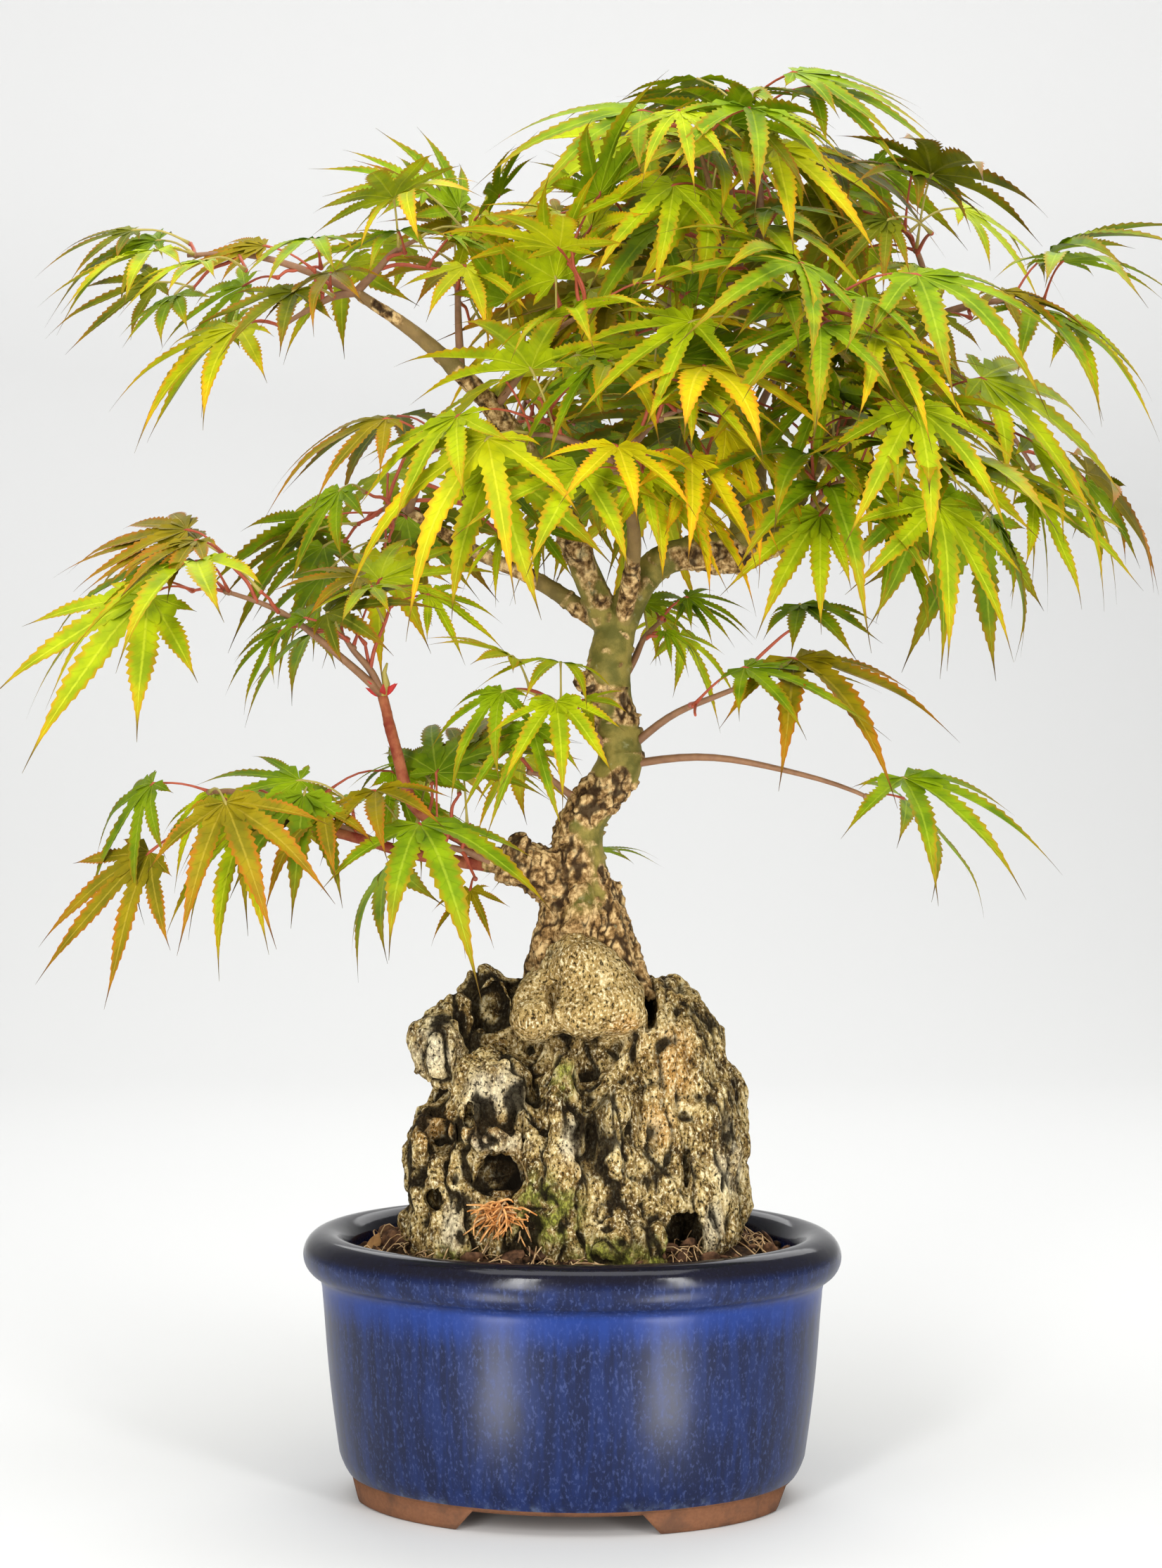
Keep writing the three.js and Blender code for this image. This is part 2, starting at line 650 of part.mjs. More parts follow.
const trunkSolid = limb(trunk).subtract(rock(clearance));
const limbSolids = { trunk: largest(trunkSolid) };
let solidSoFar = limb(trunk, clearance);
for (const [name, bough] of Object.entries(boughs)) {
  limbSolids[name] = largest(limb(bough).subtract(solidSoFar).subtract(rock(clearance)));
  solidSoFar = solidSoFar.add(limb(bough, clearance));
}
let kept = solidSoFar.add(rock(clearance));
const massSolids = {};
for (const [name, mass] of Object.entries(masses)) {
  const { stem, grown } = grow(mass);
  const own = [];
  const margins = [twigSolid(stem, stemRadius + clearance, petioleRadius + clearance)];
  const parts = [twigSolid(stem, stemRadius, petioleRadius)];
  for (const leaf of grown) {
    if (!insideSpread(leaf)) continue;
    const margin = leafSolid(leaf, clearance);
    if ([kept, ...own].some((solid) => margin.intersect(solid).volume() > 0)) continue;
    own.push(leafSolid(leaf));
    parts.push(twigSolid([leaf.seat, leaf.base], petioleRadius * 1.3, petioleRadius * 0.6));
    margins.push(margin);
  }
  const whole = wasm.Manifold.union([...parts, ...own]).subtract(kept);
  massSolids[name] = largest(whole).simplify(0.03);
  kept = wasm.Manifold.union([kept, ...margins]);
}

// Finishes

const glaze = { color: 0x1f3f8f, roughness: 0.15, metalness: 0 };
const earth = { color: 0x3a2819, roughness: 0.95, metalness: 0 };
const stone = { color: 0xa3947a, roughness: 0.9, metalness: 0 };
const bark = { color: 0x7a6238, roughness: 0.85, metalness: 0 };
const foliage = { color: 0x86b81c, roughness: 0.55, metalness: 0 };

add("pot", pot(), glaze);
add("soil", soil(), earth);
const placed = (solid) => toSolid(toGeometry(solid).rotateZ(plantTurn));
add("rock", placed(rock()), stone);
for (const [name, solid] of Object.entries(limbSolids)) add(name, placed(solid), bark);
for (const [name, solid] of Object.entries(massSolids)) add(name, placed(solid), foliage);

export default group;
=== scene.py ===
# %% [markdown]
# # A Japanese maple bonsai on a rock
# The solid model fixes every size and place, and this lesson dresses it: a blue glazed pot on
# clay feet, soil, a craggy rock, bark, red twigs and long-lobed leaves. Sizes are written in
# millimetres, as they were when the plant was drawn, and one helper turns them into the metres
# that Blender works in. The plant and its rock stand turned a little about Z against the pot, so
# the same helper turns whatever belongs to them.

# %% Load the solid model
import bpy
import math
import numpy as np
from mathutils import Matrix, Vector


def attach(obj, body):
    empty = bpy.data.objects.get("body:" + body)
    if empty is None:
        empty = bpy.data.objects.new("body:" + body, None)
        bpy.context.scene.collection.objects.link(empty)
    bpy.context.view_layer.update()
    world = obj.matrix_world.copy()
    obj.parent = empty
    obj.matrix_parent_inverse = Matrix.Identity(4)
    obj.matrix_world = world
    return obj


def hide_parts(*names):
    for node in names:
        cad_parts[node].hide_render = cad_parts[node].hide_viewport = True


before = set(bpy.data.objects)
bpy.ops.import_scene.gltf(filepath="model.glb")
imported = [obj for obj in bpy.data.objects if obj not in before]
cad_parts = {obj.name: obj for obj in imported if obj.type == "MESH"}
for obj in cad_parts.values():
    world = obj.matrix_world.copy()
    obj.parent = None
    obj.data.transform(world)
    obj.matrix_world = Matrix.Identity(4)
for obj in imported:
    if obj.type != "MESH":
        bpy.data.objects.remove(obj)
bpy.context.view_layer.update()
BODY = "root"

# %% Sizes in millimetres
MM = 0.001
PLANT_TURN = math.radians(5)
STANDING = np.array([-8.5, -1.0, 0.0])
POT_WIDTH, POT_DEPTH, POT_HEIGHT = 160.0, 122.0, 79.0
OVAL = POT_DEPTH / POT_WIDTH
RIM_ROLL = 7.0
FOOT_HEIGHT, FOOT_WIDTH, FOOT_THICKNESS = 6.0, 131.0, 9.0
FRONT_GAP, SIDE_GAP, GAP_SLANT = 54.0, 30.0, 2.5
FLOOR_TOP, INNER_WIDTH = 13.0, 134.0
SOIL_EDGE, SOIL_CROWN = 69.0, 77.0
ROCK_FOOT = 62.0
LEFTMOST, RIGHTMOST, DEEPEST, TOPMOST = -168.0, 181.0, 110.0, 425.0


def to_metres(points, planted=True):
    """Metres in the model's frame. planted points are given in the plant's own turned frame."""
    points = np.asarray(points, float).reshape(-1, 3)
    if planted:
        c, s = math.cos(PLANT_TURN), math.sin(PLANT_TURN)
        x, y, z = points.T
        points = np.stack([x * c - y * s, x * s + y * c, z], axis=1)
    return (points + STANDING) * MM


# %% [markdown]
# ## Random numbers and broken surfaces
# The solid model draws its leaves with a small generator of repeatable numbers, and the same
# generator gives the same plant here. Craggy stone and bark need something else: a value that
# changes smoothly from place to place. Blender has such noise in its shaders, but a mesh needs it
# as numbers, for a hundred thousand points at once, so it is written with numpy.

# %% Repeatable numbers
def seeded(seed):
    """A repeatable source of numbers from 0 to 1, the same as the solid model's."""
    state = seed * 7919 + 17
    while True:
        state = (state * 48271) % 2147483647
        yield state / 2147483647


# %% Clouds, seams and cells
def hashed(cells, seed):
    """A number from 0 to 1 for every whole-numbered cell."""
    x, y, z = (cells[..., i].astype(np.int64) for i in range(3))
    mixed = (x * 73856093) ^ (y * 19349663) ^ (z * 83492791) ^ (seed * 2654435761)
    mixed = (mixed ^ (mixed >> 13)) * 1274126177 & 0x7FFFFFFF
    return (mixed ^ (mixed >> 16)) % 65521 / 65521.0


def cloud(points, size, seed):
    """Smooth noise from -1 to 1 whose swells are about size across."""
    spots = np.asarray(points) / size
    low = np.floor(spots)
    f = spots - low
    f = f * f * (3 - 2 * f)
    total = np.zeros(len(spots))
    for corner in np.ndindex(2, 2, 2):
        weight = np.prod(np.where(np.array(corner) == 1, f, 1 - f), axis=1)
        total += weight * hashed(low + np.array(corner), seed)
    return total * 2 - 1


def wandering(points, size, seeds, by):
    """The points moved about by up to by, so that a pattern read there wanders."""
    return points + np.stack([cloud(points, size, k) for k in seeds], axis=1) * by


def seams(points, size, seed, narrow=2.0):
    """1 along wandering seams, falling off to both sides, the faster the narrower they are."""
    return 1 - narrow * np.abs(cloud(points, size, seed))


def nearest_cell(points, size, seed):
    """Distance, in cells, to the nearest of points strewn one to a cell."""
    spots = np.asarray(points) / size
    low = np.floor(spots)
    nearest = np.full(len(spots), 9.0)
    for step in np.ndindex(3, 3, 3):
        cell = low + np.array(step) - 1
        strewn_at = cell + np.stack([hashed(cell, seed + k) for k in range(3)], axis=1)
        nearest = np.minimum(nearest, np.linalg.norm(strewn_at - spots, axis=1))
    return nearest


# %% Soft steps and directions
def smooth_step(low, high, values):
    """0 below low, 1 above high and a soft climb between them."""
    t = np.clip((np.asarray(values) - low) / (high - low), 0, 1)
    return t * t * (3 - 2 * t)


def unit(v):
    """The same way, 1 long."""
    return v / np.linalg.norm(v)


# %% [markdown]
# ## Meshes from arrays
# Every piece is a plain mesh: its corners and faces are worked out first, gathered in lists, and
# turned into one object per kind of piece, so that the file stays light. Faces may carry a
# finish number, and corners may carry named values, such as how deep a hollow is, that a finish
# reads later.

# %% Gathering corners and faces
class Heap:
    """Corners and faces of many small shapes that become one mesh."""

    def __init__(self):
        self.points, self.faces, self.picks, self.flat = [], [], [], []
        self.count = 0

    def put(self, points, faces, pick=0, flat=None):
        """Adds a shape. pick is the finish number of all its faces, or one for each of them."""
        points = np.asarray(points, float).reshape(-1, 3)
        self.points.append(points)
        self.faces.extend([tuple(int(i) + self.count for i in face) for face in faces])
        picks = pick if hasattr(pick, "__len__") else [pick] * len(faces)
        self.picks.extend(picks)
        self.flat.append(np.zeros((len(points), 2)) if flat is None else flat)
        self.count += len(points)


def woven(rows, across, closed=True, inward=False):
    """Faces between rows of corners, closed round or open, facing outward or inward."""
    faces = []
    for i in range(rows - 1):
        for j in range(across if closed else across - 1):
            a, b = i * across + j, i * across + (j + 1) % across
            c, d = b + across, a + across
            faces.append((a, d, c, b) if inward else (a, b, c, d))
    return faces


# %% From arrays to objects
def mesh_piece(name, points, faces, finishes, picks=None, planted=True, values=None, flat=None):
    """One mesh object. values are named numbers for each corner and flat its flat place."""
    name = name.replace(" ", "_")
    mesh = bpy.data.meshes.new(name)
    mesh.from_pydata(to_metres(points, planted).tolist(), [], faces)
    for finish in finishes:
        mesh.materials.append(finish)
    if picks is not None:
        mesh.polygons.foreach_set("material_index", np.asarray(picks, np.int32))
    mesh.polygons.foreach_set("use_smooth", np.ones(len(mesh.polygons), bool))
    for key, numbers in (values or {}).items():
        layer = mesh.attributes.new(key, "FLOAT", "POINT")
        layer.data.foreach_set("value", np.asarray(numbers, np.float32))
    if flat is not None:
        corners = np.empty(len(mesh.loops), np.int32)
        mesh.loops.foreach_get("vertex_index", corners)
        layer = mesh.uv_layers.new(name="flat")
        layer.data.foreach_set("uv", np.asarray(flat, np.float32)[corners].ravel())
    mesh.update()
    piece = bpy.data.objects.new(name, mesh)
    bpy.context.scene.collection.objects.link(piece)
    return piece


def heap_piece(name, heap, finishes, planted=True):
    """The mesh object of a heap."""
    points, flat = np.vstack(heap.points), np.vstack(heap.flat)
    piece = mesh_piece(name, points, heap.faces, finishes, heap.picks, planted, None, flat)
    print(name, "faces", len(heap.faces))
    return piece


# %% Tubes along smooth paths
def smooth_path(path, steps):
    """Points evenly spaced along the smooth curve that runs through the path's points."""
    given = np.array(path, float)
    ends = [2 * given[0] - given[1]], [2 * given[-1] - given[-2]]
    knots = np.vstack([ends[0], given, ends[1]])
    fine = []
    for t in np.linspace(0, len(given) - 1, steps * 12 + 1):
        k = min(int(t), len(given) - 2)
        u = t - k
        a, b, c, d = knots[k:k + 4]
        curve = 2 * b + (c - a) * u + (2 * a - 5 * b + 4 * c - d) * u ** 2
        fine.append(0.5 * (curve + (3 * b - a - 3 * c + d) * u ** 3))
    fine = np.array(fine)
    run = np.concatenate([[0], np.cumsum(np.linalg.norm(np.diff(fine, axis=0), axis=1))])
    even = np.linspace(0, run[-1], steps + 1)
    return np.stack([np.interp(even, run, fine[:, i]) for i in range(3)], axis=1), run[-1]


def tube(points, radii, sides):
    """Corners and faces of a closed tube through the points, one radius for each."""
    points, radii = np.asarray(points, float), np.asarray(radii, float)
    heading = np.gradient(points, axis=0)
    heading /= np.maximum(np.linalg.norm(heading, axis=1), 1e-9)[:, None]
    helper = np.array([0, 0, 1.0]) if abs(heading[0][2]) < 0.8 else np.array([1.0, 0, 0])
    across = unit(np.cross(heading[0], helper))
    corners = []
    for point, ahead, radius in zip(points, heading, radii):
        across = unit(across - ahead * (across @ ahead))
        over = np.cross(ahead, across)
        turn = np.arange(sides) * 2 * math.pi / sides
        ring = across * np.cos(turn)[:, None] + over * np.sin(turn)[:, None]
        corners.append(point + ring * radius)
    corners = np.vstack(corners + [points[:1], points[-1:]])
    faces = woven(len(points), sides)
    last, low, high = (len(points) - 1) * sides, len(corners) - 2, len(corners) - 1
    for j in range(sides):
        k = (j + 1) % sides
        faces.append((k, j, low))
        faces.append((last + j, last + k, high))
    return corners, faces


def taper(radii, steps):
    """The radii spread evenly over the steps of a tube."""
    return np.interp(np.linspace(0, len(radii) - 1, steps + 1), range(len(radii)), radii)


# %% [markdown]
# ## Finishes as plain expressions
# A finish in Blender is a graph of nodes, which is slow to read as code. Here a socket is wrapped
# in a small class that understands plus, minus and times, so that a mask reads as the sum it is.
# Colours are mixed by one method, which a second one calls for a whole stack of layers, from the
# bottom up. Every other node comes from one method too, which takes the node's kind, its settings
# and the values or wires of its sockets. All places are in millimetres.

# %% Wires
class Wire:
    """A socket whose value can be added, subtracted and multiplied, from either side."""

    def __init__(self, finish, socket):
        self.finish, self.socket = finish, socket

    def math(self, operation, a, b):
        return self.finish.node("ShaderNodeMath", {"operation": operation}, {0: a, 1: b})

    def __add__(self, other):
        return self.math("ADD", self, other)

    def __radd__(self, other):
        return self.math("ADD", other, self)

    def __sub__(self, other):
        return self.math("SUBTRACT", self, other)

    def __rsub__(self, other):
        return self.math("SUBTRACT", other, self)

    def __mul__(self, other):
        return self.math("MULTIPLY", self, other)

    def __rmul__(self, other):
        return self.math("MULTIPLY", other, self)


# %% Finishes
class Finish:
    """A material and the nodes that colour it. uniform values go straight on the shader."""

    def __init__(self, name, uniform):
        self.material = bpy.data.materials.new(name)
        self.material.use_nodes = True
        self.tree = self.material.node_tree
        self.shader = self.tree.nodes["Principled BSDF"]
        for socket, value in uniform.items():
            self.shader.inputs[socket].default_value = value

    def node(self, kind, settings, sockets, output=0):
        """A node of that kind: its settings first, then the values or wires of its sockets."""
        made = self.tree.nodes.new(kind)
        for key, value in settings.items():
            if key == "stops":
                while len(made.color_ramp.elements) < len(value):
                    made.color_ramp.elements.new(0.5)
                for element, (place, colour) in zip(made.color_ramp.elements, value):
                    element.position = place
                    element.color = (*colour, 1)
            else:
                setattr(made, key, value)
        for key, value in sockets.items():
            if isinstance(value, Wire):
                self.tree.links.new(value.socket, made.inputs[key])
            elif hasattr(value, "__len__") and len(value) == 3 and made.inputs[key].type == "RGBA":
                made.inputs[key].default_value = (*value, 1)
            else:
                made.inputs[key].default_value = value
        return Wire(self, made.outputs[output])

    def place(self, stretch=(1, 1, 1)):
        """Where a point of the surface is, in millimetres, stretched as asked."""
        where = self.node("ShaderNodeTexCoord", {}, {}, "Object")
        scale = tuple(s / MM for s in stretch)
        return self.node("ShaderNodeVectorMath", {"operation": "MULTIPLY"}, {0: where, 1: scale})

    def height(self):
        """How high a point of the surface is, in millimetres."""
        return self.node("ShaderNodeSeparateXYZ", {}, {"Vector": self.place()}, "Z")

    def noise(self, size, detail=3.0, stretch=(1, 1, 1), roughness=0.55):
        """Cloudy noise from 0 to 1 whose swells are about size millimetres across."""
        sockets = {"Vector": self.place(stretch), "Scale": 1 / size, "Detail": detail}
        return self.node("ShaderNodeTexNoise", {}, {**sockets, "Roughness": roughness})

    def to_cell_edge(self, size):
        """Distance to the edges between cells that are about size millimetres wide."""
        sockets = {"Vector": self.place(), "Scale": 1 / size}
        return self.node("ShaderNodeTexVoronoi", {"feature": "DISTANCE_TO_EDGE"}, sockets)

    def value(self, name):
        """A named number that the mesh carries at each corner."""
        return self.node("ShaderNodeAttribute", {"attribute_name": name}, {}, "Fac")

    def step(self, low, high, wire):
        """0 below low, 1 above high, soft between. low may be the larger of the two."""
        sockets = {"Value": wire, "From Min": low, "From Max": high}
        return self.node("ShaderNodeMapRange", {"interpolation_type": "SMOOTHSTEP"}, sockets)

    def mix(self, mask, a, b):
        """Colour a where the mask is 0 and b where it is 1."""
        sockets = {"Factor": mask, 6: a, 7: b}
        return self.node("ShaderNodeMix", {"data_type": "RGBA"}, sockets, 2)

    def layers(self, body, *layers):
        """The body's colour with more colours laid over it in turn, each by its own mask."""
        for mask, colour in layers:
            body = self.mix(mask, body, colour)
        return body

    def ramp(self, wire, stops):
        """The colour at the wire's value, on a ramp of places and colours."""
        return self.node("ShaderNodeValToRGB", {"stops": stops}, {"Fac": wire})

    def feed(self, socket, wire):
        """Puts a wire on one of the shader's own sockets."""
        self.tree.links.new(wire.socket, self.shader.inputs[socket])

    def relief(self, wire, depth, strength):
        """Bumps of that depth in millimetres where the wire goes from 0 to 1, drawn at strength."""
        sockets = {"Height": wire, "Distance": depth * MM, "Strength": strength}
        self.feed("Normal", self.node("ShaderNodeBump", {}, sockets))


# %% [markdown]
# ## Backdrop, lights and camera
# The photo is bright and even: a white sweep behind the plant, a tall light on each side in
# front, and light from above that makes the leaves glow. The wall of the pot leans, so it mirrors
# the floor just before it, and two low glows there give the glaze its two upright bands. A long
# lens a metre away looks a little down on the rim of the pot.

# %% Backdrop
def backdrop():
    """A white floor curving up into a wall behind the plant, painted darker where lit most."""
    sweep = Finish("white sweep", {"Roughness": 0.9})
    # painted shade: the sweep is darker low down, where the lights fall strongest, so it shows evenly
    # white
    shaded_low_white, high_white = (0.71, 0.712, 0.705), (0.97, 0.97, 0.965)
    sweep.feed("Base Color", sweep.mix(sweep.step(0, 700, sweep.height()), shaded_low_white, high_white))
    near, bend, far, tall, half = -3000.0, 600.0, 1500.0, 2600.0, 3500.0
    rows = [(near, 0.0), (far - bend, 0.0)]
    for turn in np.radians(np.arange(5, 90, 5)):
        rows.append((far - bend + bend * math.sin(turn), bend - bend * math.cos(turn)))
    rows += [(far, bend), (far, tall)]
    points = [(x, y, z) for y, z in rows for x in (-half, half)]
    faces = [(2 * i, 2 * i + 1, 2 * i + 3, 2 * i + 2) for i in range(len(rows) - 1)]
    return mesh_piece("backdrop", points, faces, [sweep.material])


backdrop()

# %% Lights
def softbox(name, place, size, power, aim=(0, 0, 190), planted=True):
    """A rectangular light at a place, by default in the plant's frame, turned to face its aim."""
    lamp = bpy.data.lights.new(name, "AREA")
    lamp.shape = "RECTANGLE"
    lamp.size, lamp.size_y = size[0] * MM, size[1] * MM
    lamp.energy = power
    holder = bpy.data.objects.new(name, lamp)
    start, end = to_metres([place, aim], planted)
    holder.location = start
    holder.rotation_euler = Vector(end - start).to_track_quat("-Z", "Y").to_euler()
    bpy.context.scene.collection.objects.link(holder)


softbox("left light", (-420, -1050, 460), (170, 880), 9)
softbox("right light", (660, -980, 460), (150, 880), 7)
softbox("top light", (0, -250, 1350), (1300, 1000), 12)
softbox("back light", (150, 900, 1000), (1500, 700), 8)
softbox("low left glow", (-50, -121, 2), (30, 130), 0.13, (-46, -112, 40), planted=False)
softbox("low right glow", (76, -108, 2), (34, 120), 0.14, (70, -100, 40), planted=False)
world = bpy.data.worlds.new("studio")
world.use_nodes = True
world.node_tree.nodes["Background"].inputs["Color"].default_value = (1, 1, 1, 1)
world.node_tree.nodes["Background"].inputs["Strength"].default_value = 0.4
bpy.context.scene.world = world
bpy.context.scene.view_settings.view_transform = "Standard"

# %% Camera
CAMERA_PLACE = (-1.1, -972.0, 255.3)
LOOKS_DOWN, LOOKS_RIGHT = math.radians(2.58), math.radians(0.23)
LENS, LONG_SIDE = 75.6, 36.0


def camera():
    """A camera at the photo's place, given in the plant's frame."""
    lens = bpy.data.cameras.new("photo camera")
    lens.lens, lens.sensor_width = LENS, LONG_SIDE
    lens.clip_start, lens.clip_end = 0.05, 20
    holder = bpy.data.objects.new("photo camera", lens)
    level = math.cos(LOOKS_DOWN)
    ahead = (math.sin(LOOKS_RIGHT) * level, math.cos(LOOKS_RIGHT) * level, -math.sin(LOOKS_DOWN))
    start, end = to_metres([CAMERA_PLACE, np.array(CAMERA_PLACE) + 100 * np.array(ahead)])
    holder.location = start
    holder.rotation_euler = Vector(end - start).to_track_quat("-Z", "Y").to_euler()
    bpy.context.scene.collection.objects.link(holder)
    bpy.context.scene.camera = holder


camera()

# %% [markdown]
# ## The glazed pot
# The pot was pressed in an oval mould, so one profile, turned about the upright axis and narrowed
# from front to back, gives its whole wall. The solid has thirty-two flat sides; here there are many
# more, and the rim is a true round. The glaze is deep cobalt, brighter in a band under the rim
# where it pooled, nearly black on the crest of the rim where it ran thin, and paler and crazed
# low down. The feet are bare clay.

# %% Glaze
# heights on the pot between which the worn foot, the pooled band and the dark crest fade
WEAR_ENDS, POOL_STARTS, POOL_ENDS, CREST_STARTS = (13, 8.5), (56, 67), (67, 63), (72.5, 76.5)


def cobalt_glaze():
    """Deep blue that ran in streaks, bright where it pooled and black where it ran thin."""
    glaze = Finish("cobalt glaze", {"Specular IOR Level": 0.3})
    height = glaze.height()
    streaks = glaze.noise(3.2, 4, (1, 1, 0.12))
    drift = glaze.noise(24, 3)
    flecks = glaze.step(0.52, 0.7, glaze.noise(0.75, 2, (1, 1, 0.5)))
    deep = glaze.mix(glaze.step(0.38, 0.66, streaks), (0.002, 0.006, 0.032), (0.005, 0.017, 0.088))
    pooled = glaze.step(*POOL_STARTS, height + streaks * 8) * glaze.step(*POOL_ENDS, height)
    low_wear = glaze.step(*WEAR_ENDS, height + streaks * 4)
    low_wear = low_wear * glaze.step(0.45, 0.7, glaze.noise(5, 4))
    crest = glaze.step(*CREST_STARTS, height + streaks * 2)
    crazed = glaze.step(0.03, 0.0, glaze.to_cell_edge(2.1)) * low_wear
    glaze.feed("Base Color", glaze.layers(
        deep,
        (drift * 0.5, (0.004, 0.009, 0.045)),
        (flecks * 0.45, (0.05, 0.075, 0.2)),
        (pooled * 0.6, (0.006, 0.037, 0.23)),
        (low_wear * 0.6, (0.12, 0.16, 0.24)),
        (crest * 0.92, (0.006, 0.005, 0.009)),
        (crazed * 0.5, (0.05, 0.06, 0.08))))
    glaze.feed("Roughness", 0.3 - crest * 0.18 + flecks * 0.07 + low_wear * 0.15)
    glaze.relief(glaze.noise(9, 2), 0.25, 0.35)
    return glaze.material


# %% Clay
def bare_clay():
    """Unglazed red clay with darker stains."""
    clay = Finish("bare red clay", {"Specular IOR Level": 0.25})
    grain = clay.noise(0.9, 4)
    stain = clay.noise(7, 3)
    body = clay.mix(grain, (0.13, 0.052, 0.024), (0.24, 0.105, 0.05))
    body = clay.mix(clay.step(0.45, 0.7, stain) * 0.6, body, (0.075, 0.04, 0.026))
    clay.feed("Base Color", body)
    clay.feed("Roughness", 0.75 + grain * 0.2)
    clay.relief(grain, 0.25, 0.6)
    return clay.material


# %% Shape of the pot
NECK = POT_WIDTH / 2 - 5.6
SHOULDER = POT_HEIGHT - 2.6 * RIM_ROLL
WALL_BELLY, GLAZE_ENDS_AT = 0.5, 8.1


def pot_profile():
    """Half width and height from the middle of the floor up over the rim and down to the foot."""
    inner, middle = INNER_WIDTH / 2, POT_HEIGHT - RIM_ROLL
    rim_centre = POT_WIDTH / 2 - RIM_ROLL
    wall = [(0, FLOOR_TOP), (inner - 8, FLOOR_TOP), (inner - 3, FLOOR_TOP + 4)]
    wall.append((inner - 0.5, SHOULDER))
    for turn in np.radians(np.linspace(170, -65, 26)):
        wall.append((rim_centre + RIM_ROLL * math.cos(turn), middle + RIM_ROLL * math.sin(turn)))
    wall += [(NECK + 0.4, SHOULDER + 3.4), (NECK, SHOULDER + 1.5), (NECK - 0.1, SHOULDER)]
    high, low = np.array([NECK - 0.6, SHOULDER - 6]), np.array([NECK - 5, FLOOR_TOP])
    for t in np.linspace(0, 1, 14):
        x, z = high + (low - high) * t
        wall.append((x + WALL_BELLY * math.sin(math.pi * t), z))
    wall += [(NECK - 5.7, 11), (NECK - 6.6, 9), (NECK - 7.6, 7.4), (NECK - 9, FOOT_HEIGHT)]
    wall += [(NECK - 16, FOOT_HEIGHT), (0, FOOT_HEIGHT)]
    return wall


def pot_finish(half, z):
    """1 for bare clay, under the edge of the glaze and inside the pot, and 0 for glaze."""
    inside = z < SHOULDER and half < INNER_WIDTH / 2
    return 1 if z < GLAZE_ENDS_AT or inside else 0


# %% The profile turned and narrowed
def oval_lathe(heap, profile, sides):
    """Turns a profile of half width and height about Z, narrowed to the pot's oval."""
    turn = np.arange(sides) * 2 * math.pi / sides
    points, picks = [], []
    for half, z in profile:
        ring = [half * np.cos(turn), half * OVAL * np.sin(turn), np.full(sides, z)]
        points += list(np.stack(ring, axis=1))
    for (half, z), (_, next_z) in zip(profile, profile[1:]):
        picks += [pot_finish(half, (z + next_z) / 2)] * sides
    heap.put(points, woven(len(profile), sides, inward=True), picks)


# %% Feet
def foot(heap, side_x, side_y):
    """One foot of the ring, between the slanted ends of two gaps."""
    outer, top = FOOT_WIDTH / 2, FOOT_HEIGHT + 1
    inner = outer - FOOT_THICKNESS
    profile = [(inner, 0), (outer - 1, 0), (outer - 0.2, 0.4), (outer, 1.5)]
    profile += [(outer + 0.6, top), (inner, top)]
    points, steps = [], 28
    for t in np.linspace(0, 1, steps + 1):
        for half, z in profile:
            slant = GAP_SLANT * (1 - 2 * z / FOOT_HEIGHT)
            start = math.asin((SIDE_GAP / 2 + slant) / (half * OVAL))
            end = math.acos((FRONT_GAP / 2 + slant) / half)
            turn = start + (end - start) * t
            x, y = half * math.cos(turn), half * OVAL * math.sin(turn)
            points.append((side_x * x, side_y * y, z))
    n = len(profile)
    faces = [tuple(range(n)), tuple(range(steps * n + n - 1, steps * n - 1, -1))]
    faces += woven(steps + 1, n, inward=True)
    if side_x * side_y > 0:
        faces = [face[::-1] for face in faces]
    heap.put(points, faces, 1)


# %% Wall and feet together
pot_heap = Heap()
oval_lathe(pot_heap, pot_profile(), 160)
for side_x in (-1, 1):
    for side_y in (-1, 1):
        foot(pot_heap, side_x, side_y)
pot = heap_piece("glazed pot", pot_heap, [cobalt_glaze(), bare_clay()], planted=False)

# %% A pinhole in the glaze
def pinhole():
    """A small pit in the glaze, low on the front, with a raised lip, painted near black as shade."""
    sides, reach = 14, 1.3
    x, z = -5.3, 20.0
    half = NECK - 4.55
    y = -OVAL * math.sqrt(half ** 2 - x ** 2)
    rings = [(reach, 0.05), (reach * 0.75, -0.25), (reach * 0.45, -0.15), (0.02, 0.3)]
    points = []
    for radius, inward in rings:
        for turn in np.arange(sides) * 2 * math.pi / sides:
            points.append((x + radius * math.cos(turn), y + inward, z + radius * math.sin(turn)))
    # the pit's near-black colour is painted shade, as inside a hole
    dark = Finish("pit in the glaze", {"Roughness": 0.6})
    dark.feed("Base Color", dark.mix(dark.noise(0.5), (0.012, 0.01, 0.014), (0.03, 0.025, 0.03)))
    return mesh_piece("pinhole", points, woven(len(rings), sides), [dark.material], planted=False)


pit = pinhole()
for piece in (pot, pit):
    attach(piece, BODY)
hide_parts("pot")
